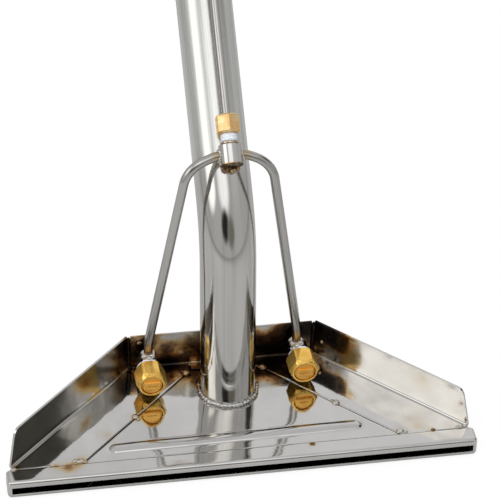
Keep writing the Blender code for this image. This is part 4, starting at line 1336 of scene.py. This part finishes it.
def dress_cad_nodes():
    dress(PAN_STEEL, "bottom_pan", "left_chamber_post", "right_chamber_post")
    dress(FITTING_STEEL, "coupling_sleeve", "line_clip")
    dress(PALE_BRASS, "coupling_nut", "solution_plug", "left_strainer", "right_strainer")
    dress(RUBBER, "coupling_seal", "left_gasket", "right_gasket")


# ---------------------------------------------------------------- studio


# The floor's sizes are in metres.
FLOOR_HALF = 6.0
FLOOR_Z = -0.0003
FLOOR_GREY = (0.52, 0.52, 0.52)
FLOOR_WHITE = 1.17
FLOOR_LIFT = 0.75


def make_floor():
    """Pale floor, which glows a little where the camera sees it directly."""
    h = FLOOR_HALF
    mesh = bpy.data.meshes.new("studio_floor")
    mesh.from_pydata([(-h, -h, 0), (h, -h, 0), (h, h, 0), (-h, h, 0)], [], [(0, 1, 2, 3)])
    floor = linked("studio_floor", mesh)
    floor.location.z = FLOOR_Z
    s = Surface("pale_floor", FLOOR_GREY, 0.0, 0.9)
    s.set(("Specular IOR Level", 0.0))
    glow = s.node("ShaderNodeEmission", {"Color": (1.0, 1.0, 1.0), "Strength": FLOOR_WHITE})
    seen = s.node("ShaderNodeLightPath", {}, "Is Camera Ray")
    share = s.math("MULTIPLY", seen, FLOOR_LIFT)
    mix = s.node("ShaderNodeMixShader", {0: share, 1: s.shader.outputs[0], 2: glow})
    s.feed(s.tree.nodes["Material Output"].inputs[0], mix)
    mesh.materials.append(s.material)


# Studio surround: direction, inner and outer half angle in degrees, and light level.
SURROUND_BASE = (0.50, 0.50, 0.50)
SURROUND_ZENITH = (0.60, 0.60, 0.61)
SURROUND_PATCHES = [
    ((0.42, 0.70, 0.60), 8, 30, (0.76, 0.76, 0.77)),
    ((-0.16, -0.53, 0.83), 9, 26, (1.32, 1.32, 1.32)),
    ((-0.82, -0.16, 0.50), 8, 21, (1.70, 1.68, 1.64)),
    ((-0.24, -0.87, 0.42), 8, 18, (0.025, 0.022, 0.020)),
    ((0.12, -0.92, 0.34), 6, 18, (0.22, 0.21, 0.19)),
    ((0.79, 0.165, 0.59), 11, 21, (0.050, 0.047, 0.036)),
]


def make_world():
    """Grey surround with soft patches for reflections, and white for the camera."""
    world = bpy.data.worlds.new("studio")
    bpy.context.scene.world = world
    world.use_nodes = True
    world.node_tree.nodes.clear()
    n = Nodes(world.node_tree)
    generated = n.node("ShaderNodeTexCoord", {}, "Generated")
    direction = n.node("ShaderNodeVectorMath", {0: generated}, operation="NORMALIZE")

    def over(below, above, axis, low, high):
        """The colour above, laid over the one below where the direction is near an axis."""
        near = n.node("ShaderNodeVectorMath", {0: direction, 1: axis}, "Value", operation="DOT_PRODUCT")
        return n.blend("MIX", n.span(near, low, high), below, above)

    colour = over(SURROUND_BASE, SURROUND_ZENITH, (0, 0, 1), 0.3, 1.0)
    for axis, inner, outer, level in SURROUND_PATCHES:
        low, high = math.cos(math.radians(outer)), math.cos(math.radians(inner))
        colour = over(colour, level, Vector(axis).normalized(), low, high)
    light = n.node("ShaderNodeBackground", {"Color": colour})
    plain = n.node("ShaderNodeBackground", {"Color": (1.0, 1.0, 1.0)})
    seen = n.node("ShaderNodeLightPath", {}, "Is Camera Ray")
    mix = n.node("ShaderNodeMixShader", {0: seen, 1: light, 2: plain})
    output = n.tree.nodes.new("ShaderNodeOutputWorld")
    n.feed(output.inputs["Surface"], mix)


# Studio lights: power in watts, and the point in metres that they are aimed at.
LIGHT_POWER = 9.0
LIGHT_TARGET = Vector((0, 0, 0.05))


def make_light(name, place, size):
    """Square soft light, placed in metres, that doesn't show in reflections."""
    data = bpy.data.lights.new(name, "AREA")
    data.shape = "RECTANGLE"
    data.size = data.size_y = size
    data.energy = LIGHT_POWER
    lamp = linked(name, data)
    lamp.location = place
    lamp.rotation_mode = "QUATERNION"
    lamp.rotation_quaternion = (LIGHT_TARGET - Vector(place)).to_track_quat("-Z", "Y")
    lamp.visible_glossy = False


# Camera, fitted to the object's outline; its angles are in radians.
CAMERA_AZIMUTH = 0.1941
CAMERA_ELEVATION = 0.6471
CAMERA_ROLL = 0.0379
CAMERA_DISTANCE = 1653.0
CAMERA_SHIFT_RIGHT = -15.05
CAMERA_SHIFT_UP = -96.04
CAMERA_TARGET = Vector((0.0, -1.7, 13.5))
FOCAL_LENGTH_PX = 2393.0
FRAME_PX = 500.0
SENSOR_MM = 36.0


def make_camera():
    cos_el = math.cos(CAMERA_ELEVATION)
    sideways, forward = math.sin(CAMERA_AZIMUTH) * cos_el, math.cos(CAMERA_AZIMUTH) * cos_el
    ahead = Vector((sideways, forward, -math.sin(CAMERA_ELEVATION)))
    level = ahead.cross(Vector((0, 0, 1))).normalized()
    above = level.cross(ahead)
    right = level * math.cos(CAMERA_ROLL) + above * math.sin(CAMERA_ROLL)
    up = above * math.cos(CAMERA_ROLL) - level * math.sin(CAMERA_ROLL)
    data = bpy.data.cameras.new("camera")
    data.sensor_width = SENSOR_MM
    data.lens = FOCAL_LENGTH_PX / FRAME_PX * SENSOR_MM
    data.clip_start = 0.05
    data.clip_end = 50.0
    axes = Matrix((right, up, -ahead)).transposed().to_4x4()
    place = CAMERA_TARGET - ahead * CAMERA_DISTANCE - right * CAMERA_SHIFT_RIGHT - up * CAMERA_SHIFT_UP
    axes.translation = place * MM
    camera = linked("camera", data)
    camera.matrix_world = axes
    bpy.context.scene.camera = camera


make_deck_panel()
for side, word in SIDES:
    make_wing(side, word)
make_rear_sheet()
make_lip()
make_lip_tabs()
make_suction_tube()
make_line_tube()
make_manifold()
make_inlet()
make_tacks()
make_foot_weld()
make_corner_welds()
make_manifold_weld()
for side, word in SIDES:
    make_jet_pipe(side, word)
    make_jet(side, word)
dress_cad_nodes()
make_floor()
make_world()
make_light("key_light", (-0.9, -0.7, 1.3), 0.9)
make_light("top_light", (0.3, 0.2, 1.6), 1.2)
make_camera()
bpy.context.scene.view_settings.view_transform = "Standard"
bpy.context.scene.view_settings.look = "None"
